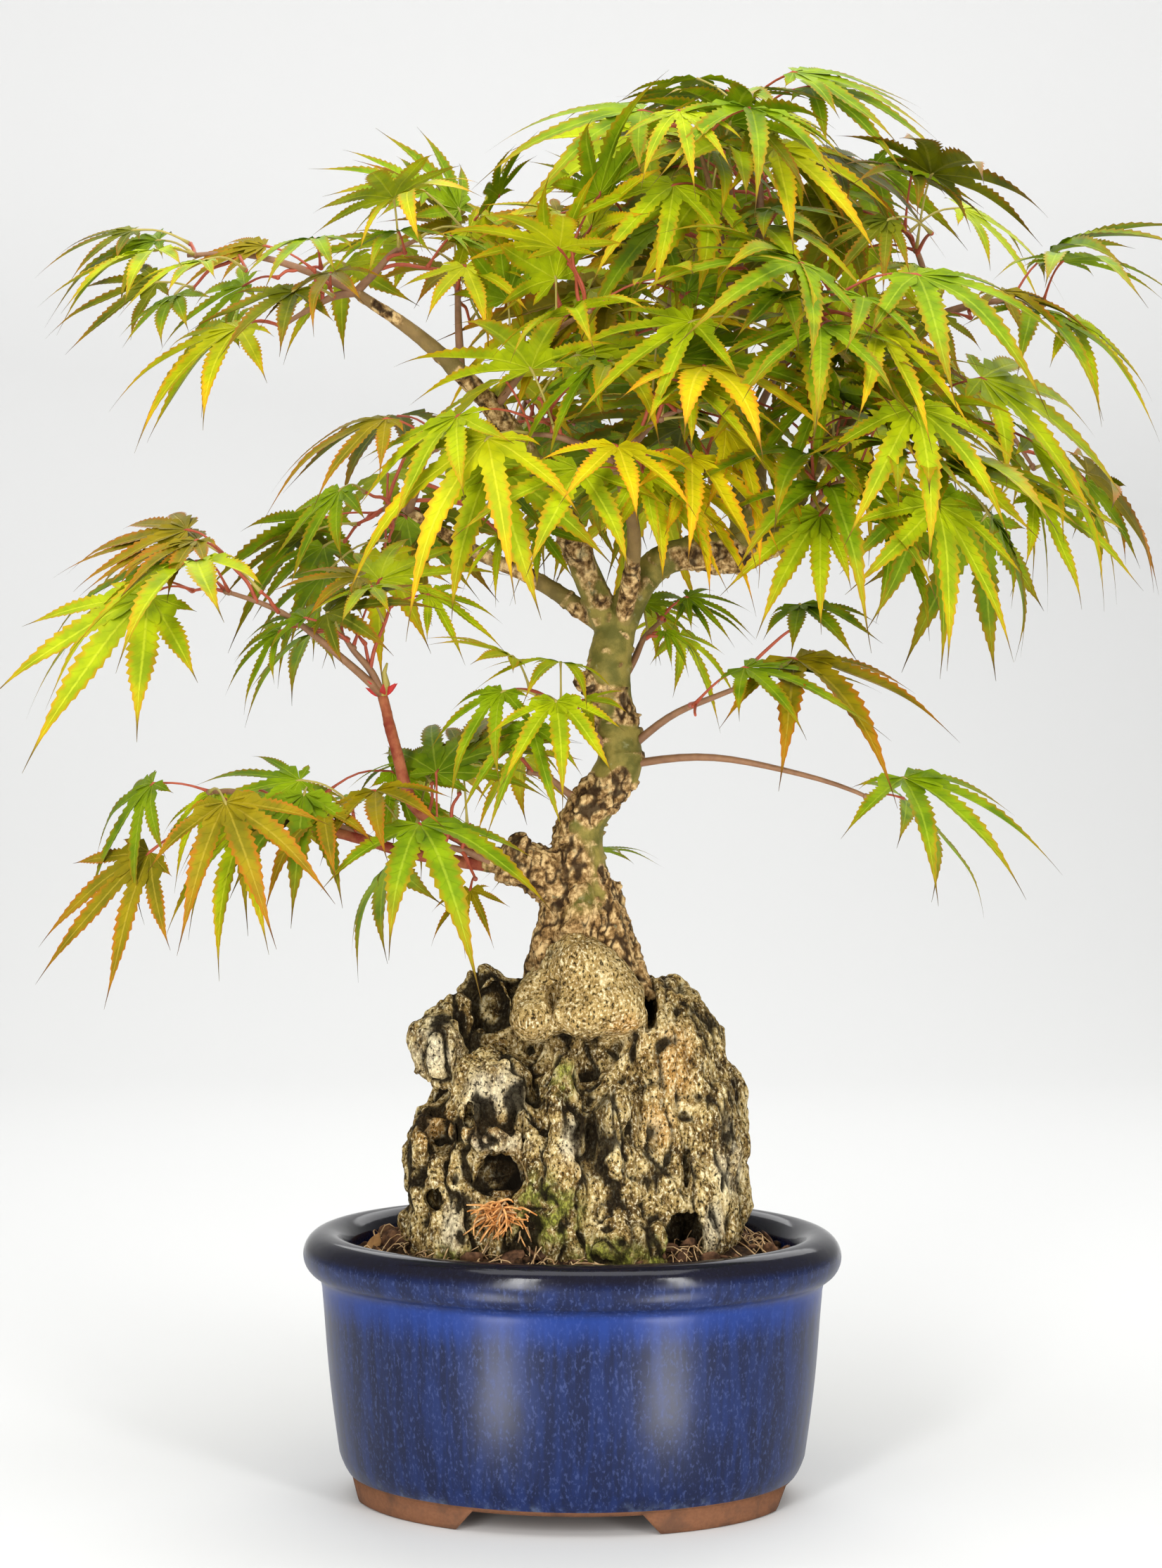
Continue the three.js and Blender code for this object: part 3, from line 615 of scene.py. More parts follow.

# %% [markdown]
# ## The rock
# The rock is a porous limestone with upright ridges. Its shape is a field: a function that says
# how far any point of space lies outside the stone. Rounded lumps melt into each other, ridges
# wander over them and hollows are taken away, all with the solid model's own numbers. Only six
# thin cracks are added here. The skin is where the field is zero. It is found on a fine grid, one
# corner for each grid cell that the skin passes through, which is known as surface nets. Each
# table below gives a place and the three half sizes there: of lumps, of hollows, and then of
# patches where the finish shows moss or rust, and where it paints pale highlights on the ridges.

# %% Lumps
ROCK_LUMPS = {
    "body": ((3, 0, 93), (46, 36, 40)),
    "left flank": ((-31, 0, 101), (17, 23, 22)),
    "left lobe": ((-38, -4, 134), (9.5, 14, 11)),
    "left peak": ((-25, 6, 139), (8, 12, 18)),
    "left shoulder": ((-32, 1, 143), (8, 10, 8)),
    "bridge": ((-23, -14, 126), (13, 13, 8)),
    "bridge knob left": ((-27, -23, 120), (5.5, 6, 6.5)),
    "bridge knob right": ((-17, -25, 122), (6, 6, 6)),
    "right shoulder": ((26, 2, 121), (21, 26, 33)),
    "right ridge": ((41, -15, 108), (7.5, 9, 18)),
    "right flank": ((46, 3, 108), (6.5, 14, 19)),
    "boulder": ((4, -12, 153), (13, 12, 15)),
    "boulder foot": ((7, -14, 147), (14.5, 12.5, 8.5)),
    "saddle": ((-16, 4, 142), (9, 9, 10)),
    "column": ((3, 3, 142), (17, 18, 25)),
    "left neck": ((-11, -14, 146), (6.5, 9, 10.5)),
    "slit rib": ((-3.5, -25, 123), (4.5, 7, 13)),
    "middle rib": ((0, -31, 112), (5.5, 6, 9)),
    "right rib": ((12, -30, 112), (5.5, 6.5, 15)),
    "mossy bulge": ((-6, -33, 95), (9.5, 7, 13)),
    "right foot": ((35, -6, 88), (16, 25, 25)),
    "foot rib": ((41, -22, 83), (4, 7, 10)),
    "left foot": ((-33, -6, 82), (16, 24, 26)),
    "left knob": ((-43, -10, 107), (6, 9, 9.5)),
    "low left knob": ((-43, -12, 93), (6, 8, 6)),
    "left rib": ((-34, -25, 83), (5, 6, 12)),
    "front foot": ((2, -24, 80), (34, 14, 20)),
    "front hump": ((14, -35, 79), (13, 7.5, 9)),
    "brow": ((-22, -28, 110), (10, 7, 4)),
}
CALM = ("boulder", "boulder foot", "left neck")

# %% Hollows and thin cracks
ROCK_HOLLOWS = {
    "nook": ((-23.5, -15, 147), (7, 16, 10)),
    "slit": ((-10.5, -31, 126), (2.6, 13, 8.5)),
    "narrow slit": ((3.5, -31, 128.5), (2, 11, 7)),
    "cave": ((-21.5, -38, 100.5), (9.5, 17, 8)),
    "hole": ((-38.5, -22, 110), (3.8, 10, 6.5)),
    "low hole": ((-39.5, -23, 92), (3.2, 8, 4)),
    "foot cave": ((32.5, -31, 81), (6.5, 12, 9)),
    "cleft": ((22.5, -15, 150), (3.2, 14, 10)),
    "fold": ((20, -31, 122), (2.2, 9, 14)),
    "notch": ((-49, -4, 123.5), (9, 18, 3.2)),
    "under the boulder": ((9, -31, 134), (8, 9, 5.5)),
}
FINE_HOLLOWS = {
    "crease": ((-5.6, -23, 148), (1.3, 8.5, 7)),
    "upper crack": ((-30, -24, 117), (1.6, 8, 5)),
    "middle crack": ((5.5, -36, 112), (1.0, 6, 9)),
    "left crack": ((-14, -33, 113), (1.3, 8, 6)),
    "dome crack": ((33, -30, 104), (1.0, 7, 10)),
    "low pocket": ((10, -43, 90), (3, 7, 2.2)),
}
MELT, RIDGE_DEPTH = 5.0, 1.7

# %% Patches of moss and rust, and painted pale highlights
MOSS = {
    "bulge": ((-7, -38, 91), (12, 11, 12)),
    "hump": ((11, -41, 78), (13, 9, 7)),
    "right foot": ((27, -36, 78), (9, 9, 7)),
    "left rib": ((-33, -29, 76), (7, 7, 6)),
    "slit": ((-2, -30, 128), (5, 7, 6)),
}
RUST = {
    "dome": ((31, -22, 132), (8, 14, 13)),
    "dome fold": ((26, -30, 115), (7, 9, 10)),
    "cave": ((-19, -30, 99), (8, 14, 9)),
    "left wall": ((-41, -16, 113), (8, 12, 8)),
    "under the bridge": ((-24, -28, 113), (9, 9, 5)),
    "boulder edge": ((15, -24, 142), (6, 7, 5)),
}
# pale patches are painted highlights where light catches the ridges, brow and ribs
PALE_HIGHLIGHTS = {
    "ridge": ((45, -18, 103), (6, 12, 13)),
    "brow": ((-22, -33, 110), (10, 6, 4)),
    "bridge": ((-22, -26, 124), (11, 9, 8)),
    "lobe": ((-40, -12, 135), (9, 12, 10)),
    "rib": ((0, -37, 112), (4, 5, 8)),
    "left rib": ((-34, -30, 84), (4, 6, 9)),
    "foot rib": ((41, -28, 84), (4, 6, 9)),
}


# %% The field
def outside(points, at, size):
    """About how far points lie outside a lump, negative inside it."""
    share = (points - np.array(at)) / np.array(size)
    far = np.sqrt((share ** 2).sum(axis=1))
    steep = np.sqrt(((share / np.array(size)) ** 2).sum(axis=1))
    return np.where(far < 0.01, -min(size), far * (far - 1) / np.maximum(steep, 1e-6))


def ridges(points):
    """Upright ridges broken by uneven ledges, from -1 to 1."""
    x, y, z = points.T
    across_x = np.sin(0.42 * x + 1.3 * np.sin(0.09 * z + 0.11 * y))
    across_y = np.sin(0.4 * y + 1.1 * np.sin(0.08 * z + 0.1 * x + 1))
    ledges = np.sin(0.33 * z + 1.2 * np.sin(0.21 * x + 0.5) + 0.9 * np.sin(0.19 * y))
    return 0.65 * across_x * across_y + 0.35 * ledges


def stone_field(points):
    """How far points lie outside the uncut lumps, and how calm the stone is there."""
    gap, calm = np.full(len(points), 100.0), np.zeros(len(points))
    for name, (at, size) in ROCK_LUMPS.items():
        own = outside(points, at, size)
        blend = np.maximum(MELT - np.abs(gap - own), 0) / MELT
        gap = np.minimum(gap, own) - blend ** 2 * MELT / 4
        if name in CALM:
            calm = np.maximum(calm, smooth_step(MELT, 0, own))
    return gap - RIDGE_DEPTH * ridges(points) * (1 - calm), calm


def cut_field(points):
    """How far points lie outside the rock, hollows and flat foot included."""
    gap = stone_field(points)[0]
    for at, size in {**ROCK_HOLLOWS, **FINE_HOLLOWS}.values():
        gap = np.maximum(gap, -outside(points, at, size))
    return np.maximum(gap, ROCK_FOOT - points[:, 2])


# %% The skin of a field
def surface_net(field, low, step):
    """Corners and faces of the skin where a field on a grid goes through zero."""
    room = tuple(n - 1 for n in field.shape)
    total, count = np.zeros((math.prod(room), 3)), np.zeros(math.prod(room))
    squares = []
    for axis in range(3):
        ahead = np.eye(3, dtype=int)[axis]
        first = field[tuple(slice(0, n - a) for n, a in zip(field.shape, ahead))]
        second = field[tuple(slice(a, n) for n, a in zip(field.shape, ahead))]
        spots = np.argwhere((first < 0) != (second < 0))
        start, end = first[tuple(spots.T)], second[tuple(spots.T)]
        place = spots + ahead * (start / (start - end))[:, None]
        u, v = np.eye(3, dtype=int)[(axis + 1) % 3], np.eye(3, dtype=int)[(axis + 2) % 3]
        around = []
        for back in (u + v, v, 0 * u, u):
            cell = np.ravel_multi_index((spots - back).T, room)
            for i in range(3):
                total[:, i] += np.bincount(cell, place[:, i], len(total))
            count += np.bincount(cell, minlength=len(count))
            around.append(cell)
        square = np.stack(around, axis=1)
        squares.append(np.where((start < 0)[:, None], square, square[:, ::-1]))
    used = np.flatnonzero(count)
    number = np.zeros(len(count), int)
    number[used] = np.arange(len(used))
    points = np.array(low) + step * total[used] / count[used][:, None]
    return points, number[np.vstack(squares)]


def normals_of(points, faces):
    """The way each corner faces, averaged over its faces. The faces have four corners each."""
    square = np.array(faces)
    a, b, c, d = (points[square[:, i]] for i in range(4))
    facing = np.cross(c - a, d - b)
    total = np.zeros_like(points)
    for i in range(4):
        np.add.at(total, square[:, i], facing)
    return total / np.maximum(np.linalg.norm(total, axis=1), 1e-12)[:, None]


# %% Fine crags on the skin
def nearness(points, spots):
    """1 in the middle of a spot, 0 well away from all of them."""
    share = np.zeros(len(points))
    for at, size in spots.values():
        far = np.linalg.norm((points - np.array(at)) / np.array(size), axis=1)
        share = np.maximum(share, smooth_step(1.25, 0.4, far))
    return share


def crags(points, calm):
    """How far fine crags move each corner out, and the painted shade of their grooves, 0 to 1."""
    about = wandering(points, 8, (1, 2, 3), 3)
    folds = np.clip(seams(about * [1, 1, 0.3], 6.5, 5), 0, 1) ** 2
    creases = np.clip(seams(about * [1, 1, 0.45], 3.1, 9), 0, 1) ** 2
    pores = 1 - smooth_step(0.1, 0.34, nearest_cell(about * [1, 1, 0.6], 6.5, 21))
    fine = cloud(points, 1.7, 41) * 0.6 + cloud(points * [1, 1, 0.6], 0.95, 43) * 0.4
    dome = smooth_step(14, 26, points[:, 0]) * smooth_step(92, 110, points[:, 2])
    lines = np.clip(seams(points * [1, 1, 0.13], 2.9, 51), 0, 1) * dome
    left = smooth_step(0, -22, points[:, 0]) * (1 - calm)
    cut = folds * (1.7 + left) + creases * 1.1 + pores * 1.8
    cut = cut * (1 - 0.6 * calm) * (1 - 0.45 * dome)
    push = 0.6 - cut - lines + fine * (0.5 + 0.2 * left) + calm * cloud(points, 11, 61) * 2.2
    return push, np.clip(cut / 2.2 + lines * 0.4, 0, 1)


# %% The rock's skin
ROCK_LOW, ROCK_HIGH, ROCK_STEP = (-55, -47, 60), (59, 42, 174), 0.73


def rock_skin():
    """The rock's corners, faces and the named values at each corner."""
    grid = [np.arange(a, b, ROCK_STEP) for a, b in zip(ROCK_LOW, ROCK_HIGH)]
    spots = np.stack(np.meshgrid(*grid, indexing="ij"), axis=-1)
    field = np.stack([cut_field(sheet.reshape(-1, 3)).reshape(sheet.shape[:2]) for sheet in spots])
    points, faces = surface_net(field, ROCK_LOW, ROCK_STEP)
    under, calm = stone_field(points)
    # the second value is painted shade for the grooves of the crags
    push, groove = crags(points, calm)
    points = points + normals_of(points, faces) * push[:, None]
    points[:, 2] = np.maximum(points[:, 2], ROCK_FOOT)
    # deep: how far a corner lies inside a hollow, which the finish paints as shade
    values = {"deep": smooth_step(1.5, 8, -under), "groove": groove, "calm": calm}
    for name, spots in (("moss", MOSS), ("rust", RUST), ("pale", PALE_HIGHLIGHTS)):
        values[name] = nearness(points, spots)
    print("rock corners", len(points), "faces", len(faces))
    return points, faces.tolist(), values


# %% Finish of the rock
def limestone():
    """Tan stone, pale grains, painted shade in grooves and depths, patches of moss and rust."""
    stone = Finish("porous limestone", {"Specular IOR Level": 0.08})
    deep, groove, calm = stone.value("deep"), stone.value("groove"), stone.value("calm")
    grain = stone.noise(0.85, 4, (1, 1, 0.7), 0.65)
    speck = stone.noise(1.9, 4, (1, 1, 0.6), 0.6)
    patch = stone.noise(9, 4, (1, 1, 0.55))
    body = stone.ramp(speck * 0.55 + patch * 0.45, [
        (0.39, (0.06, 0.034, 0.01)), (0.47, (0.22, 0.135, 0.04)),
        (0.54, (0.44, 0.31, 0.11)), (0.63, (0.82, 0.66, 0.35))])
    # pale: highlights painted on the ridges, brow and ribs
    pale = stone.value("pale") * stone.step(0.36, 0.6, patch)
    rust = stone.value("rust") + stone.step(0.56, 0.75, stone.noise(15, 3, (1, 1, 0.6))) * 0.4
    grey = stone.step(0.6, 0.74, stone.noise(12, 3))
    moss = stone.value("moss") * stone.step(0.36, 0.58, stone.noise(3.6, 4)) * 0.85
    stone.feed("Base Color", stone.layers(
        body,
        (calm * 0.5, (0.46, 0.3, 0.1)),
        (pale * 0.6, (0.66, 0.6, 0.44)),
        (rust * stone.step(0.35, 0.62, patch) * 0.6, (0.44, 0.2, 0.04)),
        (grey * 0.35, (0.17, 0.15, 0.1)),
        (stone.step(0.53, 0.64, grain) * 0.8, (0.95, 0.83, 0.53)),
        (stone.step(0.47, 0.38, grain) * 0.95, (0.014, 0.009, 0.004)),
        (moss, (0.1, 0.105, 0.018)),
        (moss * stone.step(0.46, 0.62, grain), (0.36, 0.36, 0.05)),
        # painted shade in the grooves of the crags
        (stone.step(0.3, 0.85, groove) * 0.95, (0.009, 0.006, 0.003)),
        # painted shade, darkest deep inside the hollows
        (deep * 0.95, (0.006, 0.004, 0.002))))
    stone.feed("Roughness", 0.8 + grain * 0.18)
    stone.relief(grain + speck * 0.8, 0.8, 0.9)
    return stone.material


rock_points, rock_faces, rock_values = rock_skin()
rock = mesh_piece("craggy rock", rock_points, rock_faces, [limestone()], values=rock_values)
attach(rock, BODY)
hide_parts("rock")

# %% [markdown]
# ## Helpers for skins melted by a remesh
# The limbs further on are many tubes that must become one skin. Blender's voxel remesh does that
# for them, and these helpers bring its corners back into the plant's frame as plain numbers. A
# plain round ball comes from Blender too, to be made into crumbs and into swellings on twigs.

# %% Melting and balls
def ball(detail):
    """Corners and faces of a round ball of radius 1."""
    bpy.ops.mesh.primitive_ico_sphere_add(subdivisions=detail, radius=1)
    source = bpy.context.object
    points = np.empty(len(source.data.vertices) * 3)
    source.data.vertices.foreach_get("co", points)
    faces = [tuple(face.vertices) for face in source.data.polygons]
    bpy.data.objects.remove(source)
    return points.reshape(-1, 3), faces


def melted(piece, voxel):
    """Corners and faces, in metres, of the piece's one outer skin. The piece is removed."""
    remesh = piece.modifiers.new("melt", "REMESH")
    remesh.mode = "VOXEL"
    remesh.voxel_size = voxel * MM
    shape = piece.evaluated_get(bpy.context.evaluated_depsgraph_get()).to_mesh()
    points = np.empty(len(shape.vertices) * 3)
    shape.vertices.foreach_get("co", points)
    faces = [tuple(face.vertices) for face in shape.polygons]
    bpy.data.objects.remove(piece)
    return points.reshape(-1, 3), faces


def to_plant(points):
    """Millimetres in the plant's frame, from metres in the model's frame."""
    x, y, z = (np.asarray(points) / MM - STANDING).T
    c, s = math.cos(PLANT_TURN), math.sin(PLANT_TURN)
    return np.stack([x * c + y * s, y * c - x * s, z], axis=1)


# %% [markdown]
# ## Soil in the pot
# The soil rises in a low mound to the rock. It is a loose mix: fine dark crumbs, a few rounded
# clay grains, torn chips of bark and pale dry rootlets, with one fallen leaf at the left. A bumpy
# skin carries them, a little above the solid's mound. Each kind is strewn by its own repeatable
# numbers, and all are joined to one mesh.

# %% Finishes of the soil
def earthy(name, dark, light, size, depth=0.4):
    """A rough finish that wanders between two earth colours."""
    earth = Finish(name, {"Specular IOR Level": 0.15})
    grain = earth.noise(size, 4)
    earth.feed("Base Color", earth.mix(earth.step(0.3, 0.72, grain), dark, light))
    earth.feed("Roughness", 0.82 + grain * 0.15)
    earth.relief(grain, depth, 0.7)
    return earth.material


crumb = earthy("dark crumbly soil", (0.008, 0.004, 0.002), (0.07, 0.035, 0.015), 1.3, 0.8)
clay_grain = earthy("fired clay grain", (0.11, 0.05, 0.024), (0.27, 0.15, 0.08), 1.0)
bark_chip = earthy("bark chip", (0.045, 0.022, 0.012), (0.2, 0.1, 0.05), 2.2)
rootlet = earthy("dry rootlet", (0.28, 0.15, 0.06), (0.72, 0.5, 0.26), 3.0)
dry_leaf = earthy("dry fallen leaf", (0.22, 0.1, 0.035), (0.5, 0.27, 0.1), 4.0)
LITTER_FINISHES = [crumb, clay_grain, bark_chip, rootlet]

# %% The soil's skin
SKIN_EDGE, SKIN_CROWN = SOIL_EDGE + 2.2, SOIL_CROWN + 0.4


def soil_height(x, y):
    """Height of the mound's smooth skin at a place in the pot's frame."""
    share = np.sqrt(x ** 2 + (y / OVAL) ** 2) / (INNER_WIDTH / 2)
    return SKIN_EDGE + (SKIN_CROWN - SKIN_EDGE) * smooth_step(1.0, 0.66, share)


def soil_skin():
    """The bumpy skin over the whole mound, with a skirt down inside the pot."""
    rings, sides = 46, 150
    points = []
    for share in np.linspace(0, 1, rings) ** 0.8:
        for turn in np.arange(sides) * 2 * math.pi / sides:
            half = share * (INNER_WIDTH / 2 - 0.8)
            points.append((half * math.cos(turn), half * OVAL * math.sin(turn), 0))
    points = np.array(points)
    bumps = cloud(points, 5, 3) * 1.3 + cloud(points, 2.1, 4) * 0.8 + cloud(points, 1.1, 5) * 0.5
    points[:, 2] = soil_height(points[:, 0], points[:, 1]) + bumps * 0.8
    skirt = points[-sides:] * [0.99, 0.99, 0] + [0, 0, FLOOR_TOP + 5]
    points = np.vstack([points, skirt])
    faces = woven(rings + 1, sides, inward=True)
    return mesh_piece("soil skin", points, faces, [crumb], planted=False)


# %% Places and turns on the mound
def strewn(random, inner):
    """A place on the mound, outside an inner share of its width that the rock takes up."""
    turn = 2 * math.pi * next(random)
    share = math.sqrt(inner ** 2 + (0.985 - inner ** 2) * next(random))
    x = share * (INNER_WIDTH / 2 - 2) * math.cos(turn)
    y = share * (INNER_WIDTH / 2 - 2) * OVAL * math.sin(turn)
    return np.array([x, y, float(soil_height(x, y))])


def turned(random):
    """A repeatable turn in space, as three axes."""
    first = unit(np.array([next(random) - 0.5, next(random) - 0.5, next(random) - 0.5]) + 1e-6)
    second = unit(np.cross(first, [next(random), next(random), 1.1]))
    return np.stack([first, second, np.cross(first, second)])


# %% Crumbs, chips and rootlets
def strew_lumps(heap, finish, count, low, high, flatness, seed):
    """Broken lumps between two sizes. flatness below 1 makes them chips."""
    round_points, faces = ball(2)
    random = seeded(seed)
    for k in range(count):
        size = low + (high - low) * next(random) ** 2
        rough = 1 + 0.22 * cloud(round_points + k * 3.1, 0.7, seed)
        shape = round_points * rough[:, None] * np.array([1.0, 0.55 + 0.4 * next(random), flatness])
        at = strewn(random, 0.45) + [0, 0, size * 0.25]
        heap.put(at + shape * size @ turned(random), faces, LITTER_FINISHES.index(finish))


def strew_rootlets(heap, finish, count, seed):
    """Thin fibres that lie in loose bends on the soil."""
    random = seeded(seed)
    for _ in range(count):
        start = strewn(random, 0.5)
        way = 2 * math.pi * next(random)
        long, bend = 4 + 13 * next(random) ** 2, (next(random) - 0.5) * 2.6
        points, rise = [], 0.6 + 4.2 * next(random) ** 2
        for t in np.linspace(0, 1, 6):
            heading = way + bend * t
            spot = start[:2] + np.array([math.cos(heading), math.sin(heading)]) * long * t
            points.append((*spot, float(soil_height(*spot)) + 0.5 + rise * math.sin(math.pi * t)))
        points = np.array(points)
        share = np.hypot(points[:, 0], points[:, 1] / OVAL).max() / (INNER_WIDTH / 2)
        if share < 0.97:
            heap.put(*tube(points, np.linspace(0.28, 0.1, 6), 4), LITTER_FINISHES.index(finish))


# %% The skin and all that lies on it
litter = Heap()
strew_lumps(litter, crumb, count=900, low=0.6, high=1.9, flatness=0.8, seed=61)
strew_lumps(litter, clay_grain, count=110, low=0.8, high=1.7, flatness=0.9, seed=62)
strew_lumps(litter, bark_chip, count=170, low=1.8, high=4.6, flatness=0.25, seed=63)
strew_rootlets(litter, rootlet, count=430, seed=64)
soil = soil_skin()
bits = heap_piece("soil crumbs and chips", litter, LITTER_FINISHES, planted=False)


# %% A fallen leaf and a torn piece of bark
def fallen_leaf():
    """A dry pointed leaf that stands up at the left, with a bark piece beside it."""
    heap = Heap()
    rows = []
    for t in np.linspace(0, 1, 9):
        half = 2.1 * math.sin(math.pi * min(t * 1.05, 1)) ** 0.8 + 0.12
        middle = np.array([-60.2 + 3.4 * t, -3 - 1.5 * t, 70.5 + 10.5 * t - 2.5 * t * t])
        left, right = [-half * 0.9, half * 0.5, 0.4], [half * 0.8, half * 0.3, -0.4]
        rows.append([middle + left, middle, middle + right])
    heap.put(rows, woven(len(rows), 3, closed=False), 0)
    round_points, faces = ball(3)
    rough = 1 + 0.25 * cloud(round_points, 0.5, 71)
    heap.put([-51.5, -8, 76.2] + round_points * rough[:, None] * [3.4, 1.6, 4.2], faces, 1)
    return heap_piece("fallen leaf and bark", heap, [dry_leaf, bark_chip])


fallen = fallen_leaf()
for piece in (soil, bits, fallen):
    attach(piece, BODY)
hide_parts("soil")

# %% [markdown]
# ## Trunk, boughs and roots
# The limbs are the solid model's own tubes, with more sides. Roots run down from the flare over
# the rock. All are melted into one skin, so that a bough grows out of the trunk with no seam. The
# skin is then pushed out in rings where leaves once stood, swollen into knots on the rough parts
# and cut by wandering cracks. How rough, cracked, thick and young the wood is at each corner stays
# there as a named value. The finish reads them: olive green on smooth wood, cracked pale brown on
# the rough nodes and crimson brown on young shoots.

# %% Limbs
TRUNK = (
    [(5, 1, 156), (4, 0, 171), (2, 0, 184), (3, 0, 200),
     (14, 0, 217), (12, 0, 232), (11, 0, 246), (14, 0, 261)],
    [15.5, 12.6, 8.4, 6.7, 6.9, 6.2, 6.6, 5.6])
BOUGHS = {
    "right_bough": (
        [(13, 0, 256), (21, -2, 272), (31, -2, 279), (47, 0, 280), (63, 0, 285)],
        [5.2, 4.8, 4.6, 6.8, 4.6]),
    "leader": ([(50, 0, 280), (51, 5, 310), (50, 8, 342), (56, 6, 374)], [3.8, 2.8, 1.5]),
    "right_upper_bough": ([(60, 0, 283), (72, -6, 306), (90, -10, 330), (106, -10, 348)], [3.2, 1.4]),
    "back_bough": ([(55, 2, 283), (57, 26, 306), (64, 48, 326)], [3, 1.4]),
    "left_bough": (
        [(12, 0, 256), (5, -4, 272), (-3, -9, 290), (-20, -13, 318), (-42, -16, 340), (-62, -18, 354)],
        [4.6, 3.4, 1.5]),
    "left_middle_bough": ([(10, 2, 258), (-9, 6, 271), (-30, 8, 281), (-48, 4, 292)], [3, 1.4]),
    "back_left_bough": ([(11, 3, 258), (-2, 22, 288), (-18, 42, 314)], [3, 1.4]),
    "front_bough": ([(15, -2, 258), (18, -22, 284), (12, -42, 304)], [2.8, 1.3]),
    "burr_bough": ([(1, 0, 178), (-9, -2, 186), (-21, -4, 189)], [8.4, 7.4, 6]),
    "reaching_twig": (
        [(-20, -4, 190), (-34, -8, 197), (-46, -12, 206), (-51, -14, 222), (-55, -14, 238)], [2.3, 1.5]),
    "low_twig": ([(-20, -4, 187), (-45, -8, 191), (-62, -11, 196), (-82, -14, 201)], [2, 1.3]),
}
YOUNG = ("reaching_twig", "low_twig")
STUBS = {
    "stub on the right bough": ([(50, -3, 281), (53, -5, 290), (57, -6, 297)], [4.4, 3.4]),
    "stub at the bend": ([(62, -1, 284), (70, -3, 288), (74, -4, 294)], [4.2, 2.8]),
    "stub on the burr": ([(-12, -3, 185), (-15, -6, 193), (-16, -8, 196)], [4.6, 3.0]),
    "knob under the fork": ([(6, -3, 240), (3, -6, 243)], [3.6, 2.6]),
}
ROOT_RUNS = {
    "front root": ([(3, -6, 180), (2, -10, 173), (0, -13, 168)], [5.2, 4.6, 3.0]),
    "right front root": (
        [(8, -3, 182), (11, -6, 172), (14, -8, 163), (17, -10, 154)], [4.6, 4.2, 3.2, 1.6]),
    "left root": ([(-3, -2, 180), (-6, -5, 172), (-8, -7, 163), (-9, -8, 153)], [4.6, 4.0, 3.2, 1.6]),
    "right root": ([(11, 2, 176), (15, 1, 166), (19, -1, 157), (24, -4, 148)], [4.4, 3.8, 3.0, 1.6]),
    "back root": ([(4, 8, 176), (4, 14, 166), (2, 19, 155)], [5.0, 4, 2]),
    "back right root": ([(9, 6, 176), (15, 11, 165), (21, 16, 152)], [4.6, 3.6, 1.8]),
    "back left root": ([(-3, 6, 176), (-8, 11, 165), (-13, 15, 152)], [4.6, 3.6, 1.8]),
}


# %% Limbs as lines of centres
def limb_lines():
    """Every limb as its points, radii, lengths along it and roughness, one of each a point."""
    lines = [(*TRUNK, 60, 1.0)]
    for name, (path, radii) in BOUGHS.items():
        lines.append((path, radii, 44, 0.35 if name in YOUNG else 0.8))
    lines += [(path, radii, 12, 1.0) for path, radii in STUBS.values()]
    lines += [(path, radii, 24, 0.9) for path, radii in ROOT_RUNS.values()]
    limbs = []
    for path, radii, steps, rough in lines:
        points, run = smooth_path(path, steps)
        along = np.linspace(0, run, steps + 1)
        limbs.append((points, taper(radii, steps), along, np.full(steps + 1, rough)))
    return limbs


LIMB_LINES = limb_lines()
LIMB_CENTRES = np.vstack([line[0] for line in LIMB_LINES])
LIMB_GIRTHS, LIMB_RUNS, LIMB_ROUGHNESS = (
    np.concatenate([line[i] for line in LIMB_LINES]) for i in (1, 2, 3))


# %% Relief of the bark
def nearest_of_limbs(points):
    """The number of the limbs' centre whose own surface is nearest to each point."""
    at_once = 4000
    nearest = np.empty(len(points), int)
    for start in range(0, len(points), at_once):
        part = points[start:start + at_once]
        gap = np.linalg.norm(part[:, None] - LIMB_CENTRES[None], axis=2) - LIMB_GIRTHS[None]
        nearest[start:start + at_once] = gap.argmin(axis=1)
    return nearest


def bark_relief(points, girth, along, rough):
    """How far bark moves each corner out, and the named values that its finish reads."""
    ring = np.abs(np.sin((along + cloud(points, 9, 3) * 2.2) * math.pi / (3.2 + girth * 0.55)))
    ridge = 1 - smooth_step(0.0, 0.3, ring)
    about = wandering(points, 4, (41, 42, 43), 1.6)
    wrinkle = np.clip(seams(about * [1.2, 1.2, 0.5], 2.8, 7, 3.2), 0, 1)
    crease = np.clip(seams(about * [0.7, 0.7, 1.6], 2.1, 8, 3.2), 0, 1)
    cracks = np.maximum(wrinkle, crease * 0.7)
    patch = smooth_step(-0.05, 0.35, cloud(points, 13, 11) + 0.35 * cloud(points, 5, 12))
    burr = 1 - smooth_step(12, 22, np.linalg.norm(points - np.array([-10, -3, 185]), axis=1))
    flare = smooth_step(186, 166, points[:, 2])
    coarse = np.clip(np.maximum.reduce([patch, burr, flare, ridge * 0.7]) * rough, 0, 1)
    fine = cloud(points, 1.3, 21) * 0.5 + cloud(points, 2.8, 22) * 0.5
    knots = smooth_step(0.2, 0.7, cloud(points, 6, 31)) * 1.3 * coarse
    size = np.clip(girth / 6, 0.22, 1.15)
    push = ridge * 0.6 * rough - (cracks - 0.35) * 0.75 * coarse
    push = (push + fine * (0.2 + 0.6 * coarse) + knots) * size
    young = (rough < 0.5) * smooth_step(4.5, 2.6, girth)
    return push, {"rough": coarse, "crack": cracks * coarse, "girth": girth, "young": young}


